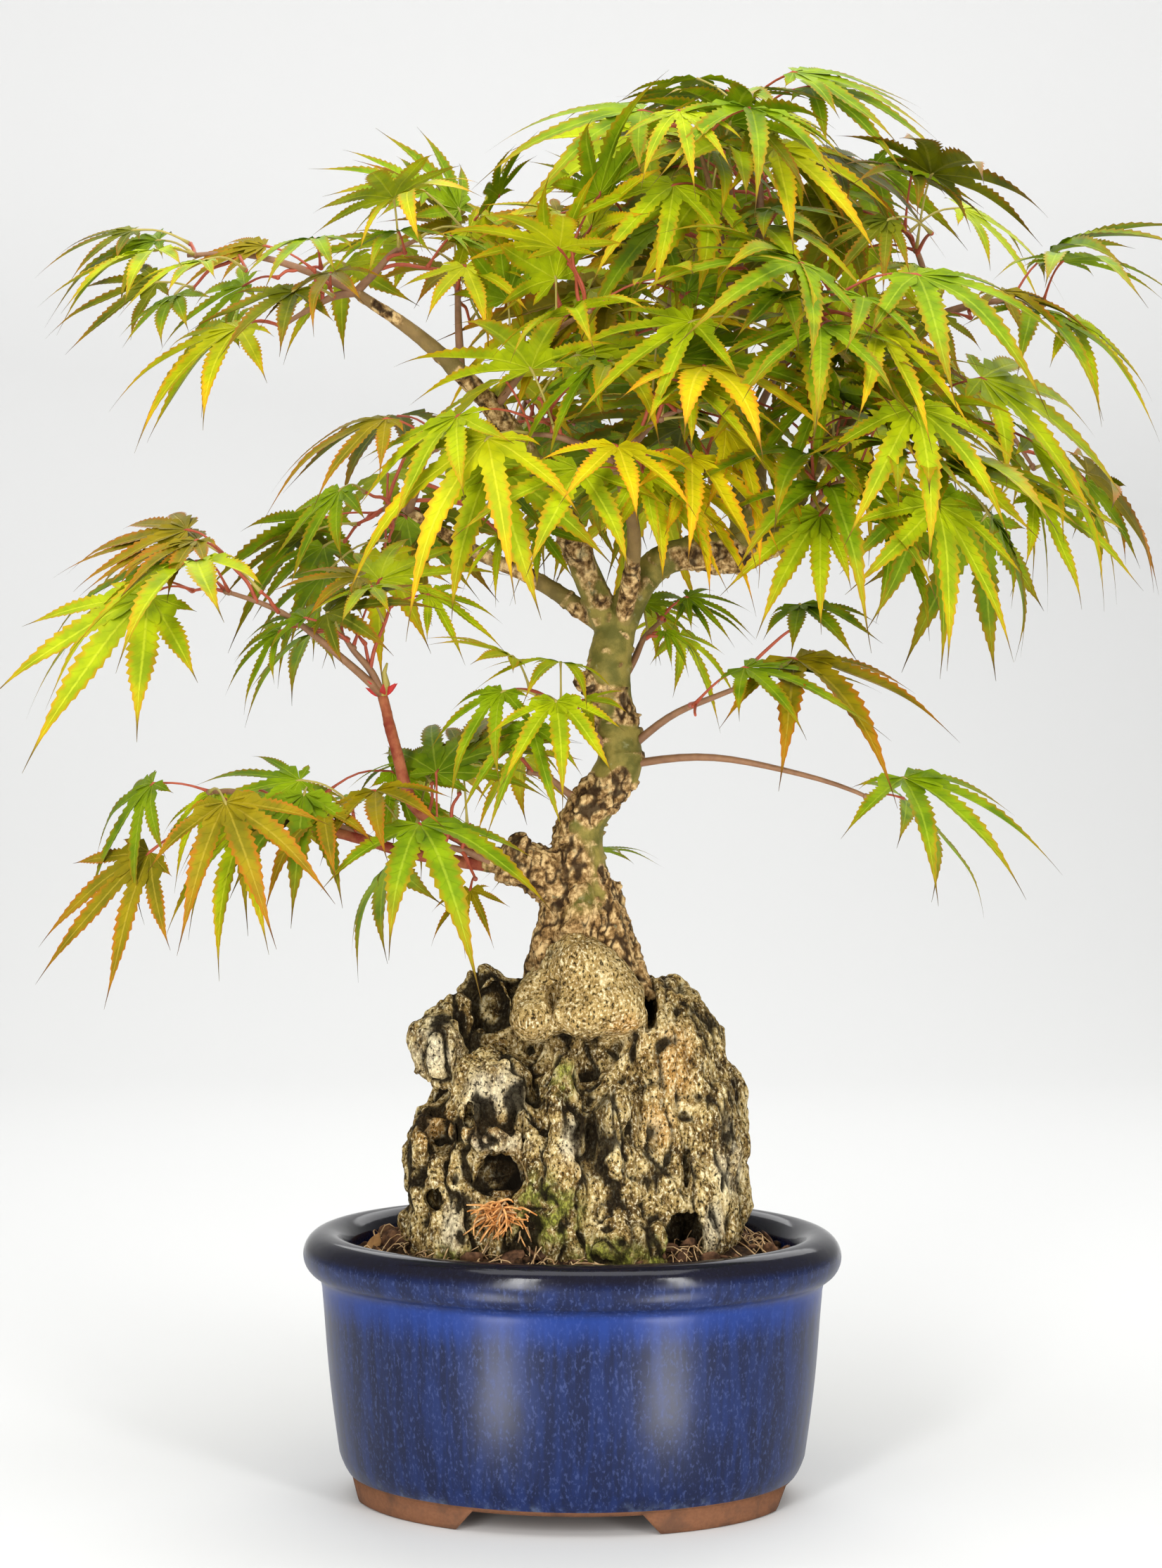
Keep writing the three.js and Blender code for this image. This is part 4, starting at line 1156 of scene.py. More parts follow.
# %% One skin for all limbs
LIMB_SIDES, LIMB_VOXEL = 20, 0.55


def limb_skin():
    """One skin for all limbs with its bark, and the named values at each corner."""
    heap = Heap()
    for points, radii, _, _ in LIMB_LINES:
        heap.put(*tube(points, radii, LIMB_SIDES))
    raw = mesh_piece("limbs", np.vstack(heap.points), heap.faces, [])
    points, faces = melted(raw, LIMB_VOXEL)
    points = to_plant(points)
    at = nearest_of_limbs(points)
    push, values = bark_relief(points, LIMB_GIRTHS[at], LIMB_RUNS[at], LIMB_ROUGHNESS[at])
    points = points + normals_of(points, faces) * push[:, None]
    print("limb corners", len(points), "faces", len(faces))
    return points, faces, values


# %% Bark
def maple_bark():
    """Olive green where smooth, pale brown with dark cracks where rough, crimson when young."""
    bark = Finish("maple bark", {"Specular IOR Level": 0.15})
    rough, crack, girth = bark.value("rough"), bark.value("crack"), bark.value("girth")
    grain = bark.noise(1.9, 5, (1, 1, 0.8), 0.6)
    patch = bark.noise(6, 4)
    smooth = bark.mix(bark.step(0.35, 0.65, patch), (0.12, 0.11, 0.02), (0.28, 0.22, 0.05))
    coarse = bark.ramp(grain, [
        (0.36, (0.07, 0.035, 0.01)), (0.48, (0.3, 0.17, 0.06)), (0.62, (0.72, 0.5, 0.23))])
    lichen = bark.step(0.62, 0.72, bark.noise(4.2, 3))
    shoot = bark.mix(bark.step(0.35, 0.65, patch), (0.2, 0.03, 0.015), (0.36, 0.12, 0.05))
    bark.feed("Base Color", bark.layers(
        smooth,
        (bark.step(3.4, 1.6, girth) * 0.75, (0.27, 0.15, 0.07)),
        (bark.step(0.25, 0.7, rough + (grain - 0.5) * 0.5), coarse),
        (lichen * 0.35, (0.42, 0.43, 0.24)),
        (bark.step(0.25, 0.75, crack) * 0.92, (0.025, 0.012, 0.005)),
        (bark.value("young"), shoot)))
    bark.feed("Roughness", 0.55 + rough * 0.3 + grain * 0.1)
    bark.relief(grain + bark.noise(0.35, 2) * 0.4, 0.45, 0.7)
    return bark.material


limb_points, limb_faces, limb_values = limb_skin()
limbs = mesh_piece(
    "trunk boughs and roots", limb_points, limb_faces, [maple_bark()], values=limb_values)
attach(limbs, BODY)
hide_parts("trunk", *BOUGHS)

# %% [markdown]
# ## The rule that grows twigs and leaves
# The solid model grows each mass of leaves by one rule: a stem arches from its limb to the heart
# of the mass, pairs of stalks stand opposite each other along it, each pair turned against the
# last, and each stalk ends in a leaf that leans the mass's own way. The rule is written again
# here with the same numbers in the same order, so every leaf lands where the solid has it. For
# each mass the table gives where its stem starts, where its heart is, the number of its leaves,
# their size, the way they lean and the number that its random draws start from.

# %% Masses of leaves
MASSES = {
    "crown_top": ((56, 6, 374), (53, -3, 407), 6, 46, (0.6, 0.3, -0.5), 178),
    "crown_top_left": ((51, 7, 352), (45, -13, 389), 2, 52, (-0.1, -0.2, -0.6), 132),
    "crown_back": ((53, 7, 362), (66, 56, 390), 4, 59, (-0.5, 0.5, -0.6), 58),
    "top_right": ((106, -10, 348), (99, 5, 374), 4, 50, (0.2, -0.1, -0.6), 137),
    "right_upper": ((106, -10, 348), (136, -23, 350), 4, 45, (0.1, -0.7, -0.1), 22),
    "right_back": ((64, 48, 326), (85, 72, 336), 4, 48, (0.2, 0.1, -0.7), 154),
    "right_middle": ((84, -9, 322), (102, -35, 313), 5, 56, (0.5, 0.2, -1), 150),
    "right_low": ((66, 0, 286), (78, -24, 300), 4, 64, (0, -0.9, -0.2), 90),
    "centre_front": ((51, 5, 312), (74, -50, 350), 5, 58, (0, -0.6, -0.6), 178),
    "front": ((12, -42, 304), (31, -42, 319), 5, 54, (0.5, -0.5, -0.9), 145),
    "front_low": ((12, -42, 304), (-12, -40, 312), 3, 57, (0, -0.8, -1.1), 146),
    "upper_front": ((50, 8, 340), (35, -42, 394), 6, 51, (-0.3, -0.3, -0.3), 54),
    "left_centre": ((-22, -13, 321), (5, -47, 346), 4, 49, (-0.3, -1.1, 0.3), 112),
    "top_left": ((-32, -14, 331), (-35, 22, 367), 3, 35, (-0.6, 0, 0.1), 47),
    "left_upper_front": ((-62, -18, 354), (-44, -21, 369), 3, 45, (-0.2, -0.9, -0.8), 129),
    "left_upper": ((-62, -18, 354), (-111, -14, 365), 2, 48, (-1, -1.2, -0.6), 12),
    "left_upper_low": ((-62, -18, 354), (-84, -15, 344), 2, 51, (-1.3, -0.3, -0.9), 132),
    "left_middle": ((-48, 4, 292), (-38, -39, 308), 2, 48, (-0.9, 0.1, -1), 162),
    "left_middle_low": ((-48, 4, 292), (-59, 27, 292), 4, 47, (-0.2, 0.6, -1), 131),
    "left_outer": ((-55, -14, 238), (-99, -33, 268), 2, 56, (-1.3, -0.6, -0.9), 126),
    "left_inner": ((-55, -14, 238), (-67, -18, 256), 4, 40, (0.3, 0.9, -0.4), 157),
    "low_left_outer": ((-82, -14, 201), (-103, -41, 211), 2, 44, (0.1, -0.5, -1.3), 1),
    "low_left_middle": ((-58, -10, 195), (-83, -13, 202), 2, 50, (-0.3, 0.1, -1.3), 55),
    "lower_left": ((-22, -4, 187), (-48, -15, 195), 4, 48, (0.6, 0.7, -0.5), 167),
    "inner_left": ((10, -2, 222), (-10, -35, 238), 4, 32, (-0.1, -0.6, -1), 152),
    "inner_low": ((3, -2, 206), (-13, 1, 215), 1, 31, (0, -0.2, -1), 81),
    "left_back": ((-18, 42, 314), (-42, 38, 317), 1, 61, (-0.3, 0.6, -0.2), 19),
    "back": ((-18, 42, 314), (-12, 67, 332), 4, 64, (0.3, 0.3, -0.9), 134),
    "back_low": ((56, 4, 286), (30, 45, 311), 5, 55, (-0.3, 0.4, -0.7), 125),
    "right_low_leaf": ((17, -1, 222), (57, -5, 242), 1, 63, (0.8, -0.6, -1.1), 53),
    "right_hanging_leaf": ((16, 0, 217), (87, -26, 208), 2, 55, (0.8, 0.8, -1), 61),
    "inner_right": ((14, -2, 240), (27, 10, 260), 4, 27, (0.5, 0.1, -0.9), 39),
    "behind_trunk": ((2, 4, 182), (2, 25, 186), 2, 21, (0.1, -0.3, 0), 54),
    "middle": ((50, 7, 324), (28, 16, 354), 3, 57, (-0.3, -0.1, -0.4), 168),
    "far_right": ((98, -10, 340), (141, 34, 306), 2, 48, (-0.1, -1.1, -1.2), 198),
}

# %% How a mass grows
# the turn of each of the solid leaf's lobes in degrees, and its reach as a share of the length
SOLID_LOBES = ((-84, 0.62), (-42, 0.88), (0, 1.0), (42, 0.88), (84, 0.62))
RIB_SHARES = (0.3, 0.5, 0.7, 0.85, 1.0)
UPWARD = np.array([0, 0, 1.0])
STEM_ARCH, PAIR_SPACING, PAIR_TURN, STALK_LENGTH = 0.32, 0.3, 1.3, 0.3


def grow(root, heart, leaves, size, hang, seed):
    """The stem's shape as a function of t from 0 to 1, and the leaves, as the solid has them."""
    random = seeded(seed)
    root, heart, lean = np.array(root, float), np.array(heart, float), unit(np.array(hang, float))
    run = heart - root
    reach = np.linalg.norm(run)
    ahead = run / reach

    def stem_at(t):
        return root + run * t + UPWARD * reach * STEM_ARCH * t * (1 - t)

    sideways = np.cross(ahead, UPWARD)
    sideways = unit(sideways) if np.linalg.norm(sideways) >= 0.2 else np.array([1.0, 0, 0])
    over = np.cross(sideways, ahead)
    grown = []
    for k in range(leaves):
        pair, hand = k // 2, 1 if k % 2 == 0 else -1
        jitter = [next(random) for _ in range(7)]
        turn = pair * PAIR_TURN + 0.35 + 0.9 * (jitter[0] - 0.5)
        seat = stem_at(1 - PAIR_SPACING * pair - 0.05 * jitter[1])
        stalk = sideways * math.cos(turn) * hand + over * math.sin(turn) * hand * 0.6
        stalk = unit(stalk + ahead * 0.5 + lean * 0.35 + UPWARD * 0.3)
        base = seat + stalk * size * (STALK_LENGTH + 0.25 * jitter[2])
        stray = np.array([jitter[3] - 0.5, jitter[4] - 0.5, -0.3])
        axis = unit(stalk + lean * 0.7 + stray * 0.6)
        facing = np.array([0.2 * np.sign(base[0] - 10), 0.4 if base[1] > 14 else -0.45, 0.85])
        facing = facing + np.array([jitter[5] - 0.5, 0, jitter[6] - 0.5]) * 0.5
        normal = unit(facing - axis * (facing @ axis))
        length = size * (0.8 + 0.3 * jitter[5])
        grown.append({"seat": seat, "base": base, "axis": axis, "normal": normal,
                      "length": length, "droop": 0.28 + 0.25 * jitter[6]})
    return stem_at, grown


# %% Leaves of the solid
def ribs(leaf):
    """Points along the middle of each of the leaf's main lobes, tips last in each row."""
    side = np.cross(leaf["normal"], leaf["axis"])
    rows = []
    for turn, reach in SOLID_LOBES:
        way = leaf["axis"] * math.cos(math.radians(turn)) + side * math.sin(math.radians(turn))
        for out in (reach * share for share in RIB_SHARES):
            bent = way * out - leaf["normal"] * leaf["droop"] * out ** 2
            rows.append(leaf["base"] + leaf["length"] * bent)
    return np.array(rows).reshape(len(SOLID_LOBES), len(RIB_SHARES), 3)


def inside_spread(points):
    """True where all points lie inside the plant's whole spread."""
    x, y, z = points.reshape(-1, 3).T
    across = x.min() > LEFTMOST and x.max() < RIGHTMOST
    return across and np.abs(y).max() < DEEPEST and z.max() < TOPMOST


plant = {name: grow(*numbers) for name, numbers in MASSES.items()}
solid_leaves = {}
for name, (_, grown) in plant.items():
    solid_leaves[name] = [leaf for leaf in grown if inside_spread(ribs(leaf))]
print("leaves of the solid", sum(len(grown) for grown in solid_leaves.values()))

# %% [markdown]
# ## Finer twigs
# The real crown has two or three times as many leaves as the solid, on finer twigs between the
# main ones. The same rule makes them, started again from places along each stem with fewer and
# smaller leaves. A few twigs that stand out in the photo are listed, and the rest are dealt out
# by chance. A leaf is kept only where its lobes stay near those of the solid, so that the
# crown's outline stays as it is, and where it doesn't run into its neighbours or a limb. The
# crown's gaps of sky are kept open too: each is an oval in the plant's middle plane, as it is seen
# from the camera, and a leaf with too many points in one is dropped.

# %% Gaps of sky
SKY = {
    "over the upper left twig": ((-118, 391), (46, 15)),
    "under the upper left twig": ((-62, 331), (34, 17)),
    "left of the young shoot": ((-82, 229), (34, 12)),
    "over the lower left twig": ((-118, 224), (34, 11)),
    "right of the young shoot": ((-36, 235), (16, 10)),
    "left of the fork": ((-4, 254), (9, 11)),
    "left of the top": ((0, 418), (24, 14)),
    "right of the top": ((129, 376), (11, 14)),
    "over the far right": ((156, 368), (22, 13)),
    "inside the right crown": ((124, 334), (18, 12)),
    "right of the trunk": ((38, 231), (17, 10)),
    "over the hanging leaf": ((105, 222), (24, 17)),
    "under the lower left leaves": ((-98, 172), (34, 13)),
    "burr": ((-16, 184), (14, 13)),
}


def in_sky(points):
    """The share of points that the camera would see in one of the crown's gaps of sky."""
    eye_x, eye_y, eye_z = CAMERA_PLACE
    x, y, z = points.T
    nearer = eye_y / (eye_y - y)
    x, z = eye_x + (x - eye_x) * nearer, eye_z + (z - eye_z) * nearer
    inside = np.zeros(len(points), bool)
    for (at_x, at_z), (wide, tall) in SKY.values():
        inside |= ((x - at_x) / wide) ** 2 + ((z - at_z) / tall) ** 2 < 1
    return inside.mean()


# %% Room for a leaf
solid_ribs = np.vstack([ribs(leaf) for grown in solid_leaves.values() for leaf in grown])
solid_ribs = solid_ribs.reshape(-1, 3)


def gap_to(points, others):
    """The distance from each point to the nearest of the others."""
    return np.sqrt(((points[:, None] - others[None]) ** 2).sum(-1)).min(axis=1)


WOOD_CLEARANCE = 1.2
ROCK_MIDDLE, ROCK_HALF_WIDTH, ROCK_HALF_DEPTH, ROCK_TOP = 2, 50, 38, 158


def clear_of_wood(points):
    """True where no point is in a limb or in the rock."""
    gap = np.sqrt(((points[:, None] - LIMB_CENTRES[None]) ** 2).sum(-1)) - LIMB_GIRTHS[None]
    x, y, z = points.T
    over_rock = (np.abs(x - ROCK_MIDDLE) < ROCK_HALF_WIDTH) & (np.abs(y) < ROCK_HALF_DEPTH)
    return gap.min() > WOOD_CLEARANCE and not (over_rock & (z < ROCK_TOP)).any()


# %% Leaves that have room
ROOM_BY_CHANCE = {"sky": 0.22, "clearance": 1.8, "beyond": 17.0, "close": (0.55, 0.35)}
ROOM_BY_NAME = {"sky": 0.3, "clearance": 0.7, "beyond": math.inf, "close": (0.6, 0.3)}


def kept_leaves(grown, room, taken, random):
    """The leaves that have room, with their lobes drawn together. taken grows by their ribs."""
    kept = []
    closest, span = room["close"]
    for leaf in grown:
        lines = ribs(leaf)
        flat = lines.reshape(-1, 3)
        if not inside_spread(flat) or not clear_of_wood(flat) or in_sky(flat) > room["sky"]:
            continue
        if gap_to(lines[:, -1], solid_ribs).max() > room["beyond"]:
            continue
        if gap_to(flat, np.vstack(taken)).min() < room["clearance"]:
            continue
        taken.append(flat)
        close = closest + span * next(random)
        kept.append({**leaf, "close": close, "droop": leaf["droop"] * 0.7})
    return kept


# %% Twigs listed one by one
# each has its place along the mass's stem, then the numbers that a mass has after its start
NAMED_TWIGS = {
    "left_upper": [
        (0.3, (-72, -18, 361), 3, 38, (-1, -0.5, -0.6), 301),
        (0.2, (-68, -24, 352), 3, 36, (-0.9, -0.4, -0.9), 302)],
    "top_left": [(0.6, (-31, -4, 373), 3, 32, (-0.8, -0.2, 0.2), 303)],
    "crown_top_left": [(0.3, (2, -12, 374), 3, 28, (-0.6, -0.3, 0.1), 304)],
    "left_upper_front": [(0.3, (-34, -16, 360), 3, 28, (-0.2, -0.3, -1), 305)],
    "right_upper": [
        (0.3, (114, -26, 346), 3, 34, (0.4, -0.5, -0.9), 306),
        (0.8, (129, -26, 347), 2, 38, (0.9, -0.5, -0.9), 307)],
    "right_low": [(0.7, (80, -28, 293), 3, 40, (0.1, -0.5, -1), 309)],
    "right_middle": [(0.9, (105, -36, 300), 2, 46, (0.5, -0.3, -1), 311)],
    "front": [(0.2, (20, -46, 302), 3, 38, (0.2, -0.5, -1), 325)],
    "front_low": [(0.3, (8, -48, 302), 3, 42, (0.3, -0.6, -1), 324)],
    "left_middle": [
        (0.3, (-20, -18, 284), 3, 28, (-0.3, -0.4, -0.9), 312),
        (0.1, (-10, -14, 284), 3, 26, (0.2, -0.4, -0.9), 313)],
    "left_inner": [(0.3, (-52, -20, 264), 3, 28, (0.1, -0.3, -1), 314)],
    "right_low_leaf": [
        (0.4, (30, -8, 244), 3, 28, (-0.2, -0.4, -0.9), 315),
        (0.9, (60, -12, 238), 1, 54, (1, -0.3, -0.9), 316)],
    "low_left_middle": [(0.2, (-64, -20, 207), 4, 38, (-0.9, -0.5, -0.7), 317)],
    "low_left_outer": [(0.8, (-100, -34, 202), 2, 46, (-0.8, -0.3, -1.2), 319)],
    "lower_left": [(0.4, (-28, -12, 184), 2, 24, (-0.4, -0.3, -1), 320)],
    "inner_left": [(0.7, (-16, -30, 240), 3, 30, (-0.8, -0.4, -0.3), 323)],
    "left_outer": [(0.9, (-108, -34, 268), 2, 54, (-1.2, -0.4, -1.1), 322)],
}


# %% Leaves between the leaves
TWIGS_BY_CHANCE = {
    "left_upper": 12, "left_outer": 9, "right_low_leaf": 10, "right_low": 8,
    "low_left_outer": 6, "right_hanging_leaf": 0, "inner_low": 2, "behind_trunk": 2}


def finer_twigs(name, taken):
    """The finer twigs of a mass that kept leaves: each one's shape and its leaves."""
    root, heart, leaves, size, hang, seed = MASSES[name]
    stem_at = plant[name][0]
    random = seeded(seed + 1000)
    run = np.array(heart, float) - root
    longest = max(size * 0.55, min(np.linalg.norm(run), 40) * 0.5)
    twigs = []
    for t, *numbers in NAMED_TWIGS.get(name, ()):
        twig_at, grown = grow(stem_at(t), *numbers)
        twigs.append((twig_at, kept_leaves(grown, ROOM_BY_NAME, taken, random)))
    for k in range(TWIGS_BY_CHANCE.get(name, 6 if leaves > 2 else 4)):
        start = stem_at(0.3 + 0.68 * next(random))
        around = np.array([next(random) - 0.5, next(random) - 0.5, next(random) - 0.35])
        way = unit(unit(around) + 0.5 * unit(run))
        end = start + way * (0.25 + 0.5 * next(random)) * longest
        small = size * (0.66 + 0.3 * next(random))
        twig_at, grown = grow(start, end, 3 if k % 2 else 2, small, hang, seed * 7 + k * 31 + 5)
        twigs.append((twig_at, kept_leaves(grown, ROOM_BY_CHANCE, taken, random)))
    return [(twig_at, kept) for twig_at, kept in twigs if kept]


taken = [solid_ribs]
finer = {name: finer_twigs(name, taken) for name in MASSES}
print("finer leaves", sum(len(kept) for twigs in finer.values() for _, kept in twigs))

# %% [markdown]
# ## One leaf
# A leaf of this maple has seven long lance-shaped lobes with toothed edges and tips drawn out to
# dark threads. It is made as a thin mesh of three rows of corners a lobe, edge, rib and edge,
# worked out once in the leaf's own flat plane and then bent for each leaf: folded a little along
# every rib, drooping more towards the tips, each lobe with its own small turn. The lobes of the
# finer leaves are drawn together more than those of the main ones. The flat place of each corner,
# across and along its lobe, is kept for the finish, which draws the veins with it.

# %% Flat shape of a leaf
# the turn of each lobe in degrees, its reach and its half width as shares of the leaf's length
LOBES = (
    (-131, 0.27, 0.034), (-84, 0.66, 0.056), (-42, 0.92, 0.072), (0, 1.03, 0.078),
    (42, 0.92, 0.072), (84, 0.66, 0.056), (131, 0.27, 0.034))
SINUS = 0.2
LANCE_PLACES = (0, 0.12, 0.3, 0.48, 0.65, 0.78, 0.88, 1.0)
LANCE_WIDTHS = (0.85, 0.92, 1.0, 0.82, 0.47, 0.2, 0.055, 0.015)
TEETH, SMALL_LOBE_TEETH, TOOTHLESS_FROM = 13, 5, 0.84
TOOTH_OUT, TOOTH_IN = 1.12, 0.86


def flat_lobe(index):
    """Rows of a lobe: how far out, the two half widths, and the share along it."""
    turn, reach, half = LOBES[index]
    before = LOBES[index - 1][0] if index else turn - 50
    after = LOBES[index + 1][0] if index + 1 < len(LOBES) else turn + 50
    limits = math.radians((turn - before) / 2), math.radians((after - turn) / 2)
    sinus = min(SINUS, reach * 0.45)
    rows = [(0.0, 0.0, 0.0, 0.0)]
    for part, share in ((0.55, 0.1), (0.92, 0.18)):
        rows.append((sinus * part, *(sinus * part * math.tan(a) for a in limits), share))
    teeth = TEETH if reach > 0.5 else SMALL_LOBE_TEETH
    for k in range(teeth):
        for part, bite in ((0.62, TOOTH_OUT), (0.84, TOOTH_IN)):
            u = (k + part) / (teeth + 0.6)
            out = sinus + (reach - sinus) * u
            lance = np.interp(u, LANCE_PLACES, LANCE_WIDTHS)
            width = half * lance * (bite if u < TOOTHLESS_FROM else 1)
            widths = [min(width, out * math.tan(a) * 0.92) for a in limits]
            rows.append((out, *widths, 0.18 + 0.82 * u))
    rows.append((reach, half * 0.012, half * 0.012, 1.0))
    return rows


# %% Faces of a leaf
FLAT_LOBES = [flat_lobe(index) for index in range(len(LOBES))]
LOBE_OF = np.concatenate([np.full(len(rows), i) for i, rows in enumerate(FLAT_LOBES)])
FLAT_ROWS = np.vstack(FLAT_LOBES)
LOBE_TURNS = np.array([turn for turn, _, _ in LOBES])


def flat_faces():
    """Faces and flat places of a whole leaf, lobe after lobe."""
    faces, places, start = [], [], 0
    for rows in FLAT_LOBES:
        for i, (_, _, _, share) in enumerate(rows):
            places += [(0.0, share), (0.5, share), (1.0, share)]
            a = start + 3 * i
            if i == 0:
                faces += [(a + 1, a + 4, a + 3), (a + 1, a + 5, a + 4)]
            elif i + 1 < len(rows):
                faces += [(a, a + 1, a + 4, a + 3), (a + 1, a + 2, a + 5, a + 4)]
        start += 3 * len(rows)
    return faces, np.array(places)


LEAF_FACES, LEAF_PLACES = flat_faces()
print("faces in a leaf", len(LEAF_FACES))


# %% Bending a leaf
def leaf_points(leaf, random):
    """Corners of one leaf, bent and folded. close below 1 draws its lobes together."""
    side = np.cross(leaf["normal"], leaf["axis"])
    fold, curl = 0.15 + 0.45 * next(random), 0.05 + 0.2 * next(random)
    broad = 0.78 + 0.4 * next(random)
    draws = np.array([[next(random) for _ in range(6)] for _ in LOBES])[LOBE_OF]
    out, left, right, share = FLAT_ROWS.T
    wider = 1 + (broad - 1) * np.minimum(1, share * 3)
    angle = np.radians(LOBE_TURNS[LOBE_OF] * leaf.get("close", 0.8) + 8 * (draws[:, 0] - 0.5))
    bend = angle + 0.16 * (draws[:, 2] - 0.5) * share ** 2
    far = out * (1 + 0.1 * (draws[:, 1] - 0.6))
    hang = leaf["droop"] * (0.8 + 0.4 * draws[:, 3])
    wave = 0.012 * draws[:, 4] * np.sin(6.28 * draws[:, 5] + 9 * out) * np.minimum(1, out * 4)
    offset = np.stack([-left * wider, 0 * left, right * wider], axis=1)
    x = (np.cos(bend) * far)[:, None] - np.sin(bend)[:, None] * offset
    y = (np.sin(bend) * far)[:, None] + np.cos(bend)[:, None] * offset
    r2 = x * x + y * y
    rise = fold * np.abs(offset) - hang[:, None] * r2
    rise += (wave - curl * np.clip(share - 0.6, 0, 1) ** 2)[:, None]
    flat = np.stack([x, y, rise], axis=-1).reshape(-1, 3)
    return leaf["base"] + leaf["length"] * flat @ np.stack([leaf["axis"], side, leaf["normal"]])


# %% [markdown]
# ## Leaf colours
# It is early autumn: most leaves are still bright green, a few sprays in front have turned
# yellow, edges are bronze and thread tips nearly black. Each mass deals its leaves a few finishes
# of its own, and inside a leaf the finish draws a pale rib, side veins and the tint of the edge.

# %% One leaf's finish
def leafy(name, blade, shade, edge, edge_share):
    """A leaf finish: blade and shade wander over the leaf, edge tints its rim and its tips."""
    leaf = Finish(name, {"Specular IOR Level": 0.13})
    flat = leaf.node("ShaderNodeUVMap", {"uv_map": "flat"}, {})
    across = leaf.node("ShaderNodeSeparateXYZ", {}, {"Vector": flat}, "X")
    along = leaf.node("ShaderNodeSeparateXYZ", {}, {"Vector": flat}, "Y")
    out = leaf.node("ShaderNodeMath", {"operation": "ABSOLUTE"}, {0: across - 0.5}) * 2
    drift = leaf.noise(11, 3)
    grain = leaf.noise(1.6, 3)
    rim = leaf.step(0.5, 0.95, out + (grain - 0.5) * 0.5) * leaf.step(0.15, 0.5, along)
    tip = leaf.step(0.52, 0.95, along + (drift - 0.5) * 0.4)
    thread = leaf.step(0.82, 0.94, along)
    rib = leaf.step(0.15, 0.03, out)
    comb = leaf.node("ShaderNodeMath", {"operation": "FRACT"}, {0: along * TEETH - out * 1.1})
    veins = leaf.step(0.2, 0.04, comb) * leaf.step(1.0, 0.6, out)
    pale = (min(1, blade[0] * 1.2 + 0.1), min(1, blade[1] * 1.15 + 0.08), blade[2] + 0.03)
    leaf.feed("Base Color", leaf.layers(
        leaf.mix(leaf.step(0.3, 0.7, drift), shade, blade),
        (rim * edge_share * 1.2, edge),
        (tip * (0.3 + edge_share * 0.7), edge),
        (thread * 0.92, (0.06, 0.02, 0.008)),
        (rib * 0.5, pale),
        (veins * 0.25, shade)))
    leaf.feed("Roughness", 0.5 + grain * 0.2)
    leaf.relief(rib + veins * 0.5 + grain * 0.3, 0.3, 0.5)
    return leaf.material


# %% Leaf finishes and how sprays are dealt them
# blade, its shade, edge, and how far the edge's tint goes
LEAF_COLOURS = {
    "bright green": ((0.28, 0.4, 0.003), (0.12, 0.21, 0.002), (0.42, 0.17, 0.006), 0.5),
    "lime": ((0.46, 0.54, 0.003), (0.23, 0.31, 0.003), (0.52, 0.22, 0.006), 0.55),
    "yellow green": ((0.55, 0.55, 0.003), (0.34, 0.38, 0.004), (0.62, 0.24, 0.006), 0.6),
    "yellow": ((0.74, 0.6, 0.004), (0.52, 0.47, 0.004), (0.72, 0.25, 0.008), 0.7),
    "mid green": ((0.21, 0.3, 0.002), (0.08, 0.15, 0.002), (0.34, 0.13, 0.006), 0.45),
    "olive green": ((0.19, 0.2, 0.002), (0.08, 0.1, 0.002), (0.32, 0.11, 0.006), 0.6),
    "bronze green": ((0.32, 0.24, 0.003), (0.16, 0.14, 0.003), (0.4, 0.14, 0.006), 0.85),
}
LEAF_FINISHES = [leafy(f"{shade} leaf", *colours) for shade, colours in LEAF_COLOURS.items()]
SHADES = list(LEAF_COLOURS)
USUAL = ("bright green", "lime", "mid green", "bright green", "yellow green", "lime",
         "bronze green", "olive green")
TURNED = {
    "front_low": ("yellow green", "yellow", "lime"),
    "front": ("lime", "yellow", "bright green"),
    "left_outer": ("lime", "bright green", "bronze green"),
    "left_centre": ("yellow green", "lime", "bright green"),
    "left_upper_front": ("lime", "yellow green", "bright green"),
    "top_right": ("lime", "olive green"),
    "right_low": ("lime", "bright green", "lime"),
    "right_middle": ("bright green", "lime"),
    "low_left_outer": ("bronze green", "lime", "mid green"),
    "upper_front": ("bright green", "lime"),
}


# %% Stalks and twigs
BROWN, RED, GREEN, CRIMSON = range(4)
STALK_RADII = [0.75, 0.42, 0.36, 0.34, 0.34, 0.36, 0.5, 0.22]
RED_STALKS = 0.6
TWIG_STEPS, SWELLING = 14, 0.35
MAIN_TWIG, FINE_TWIG = (1.35, 0.6), (0.65, 0.4)


def petiole(heap, leaf, random):
    """A thin stalk that arches from the twig to the foot of its leaf."""
    seat, base = leaf["seat"], leaf["base"]
    far = np.linalg.norm(base - seat)
    lift = UPWARD * far * (0.05 + 0.1 * next(random))
    points = []
    for t in np.linspace(0, 1, 7):
        points.append(seat + (base - seat) * t + lift * math.sin(math.pi * t))
    points.append(base + leaf["axis"] * leaf["length"] * 0.03)
    heap.put(*tube(points, STALK_RADII, 6), RED if next(random) < RED_STALKS else GREEN)


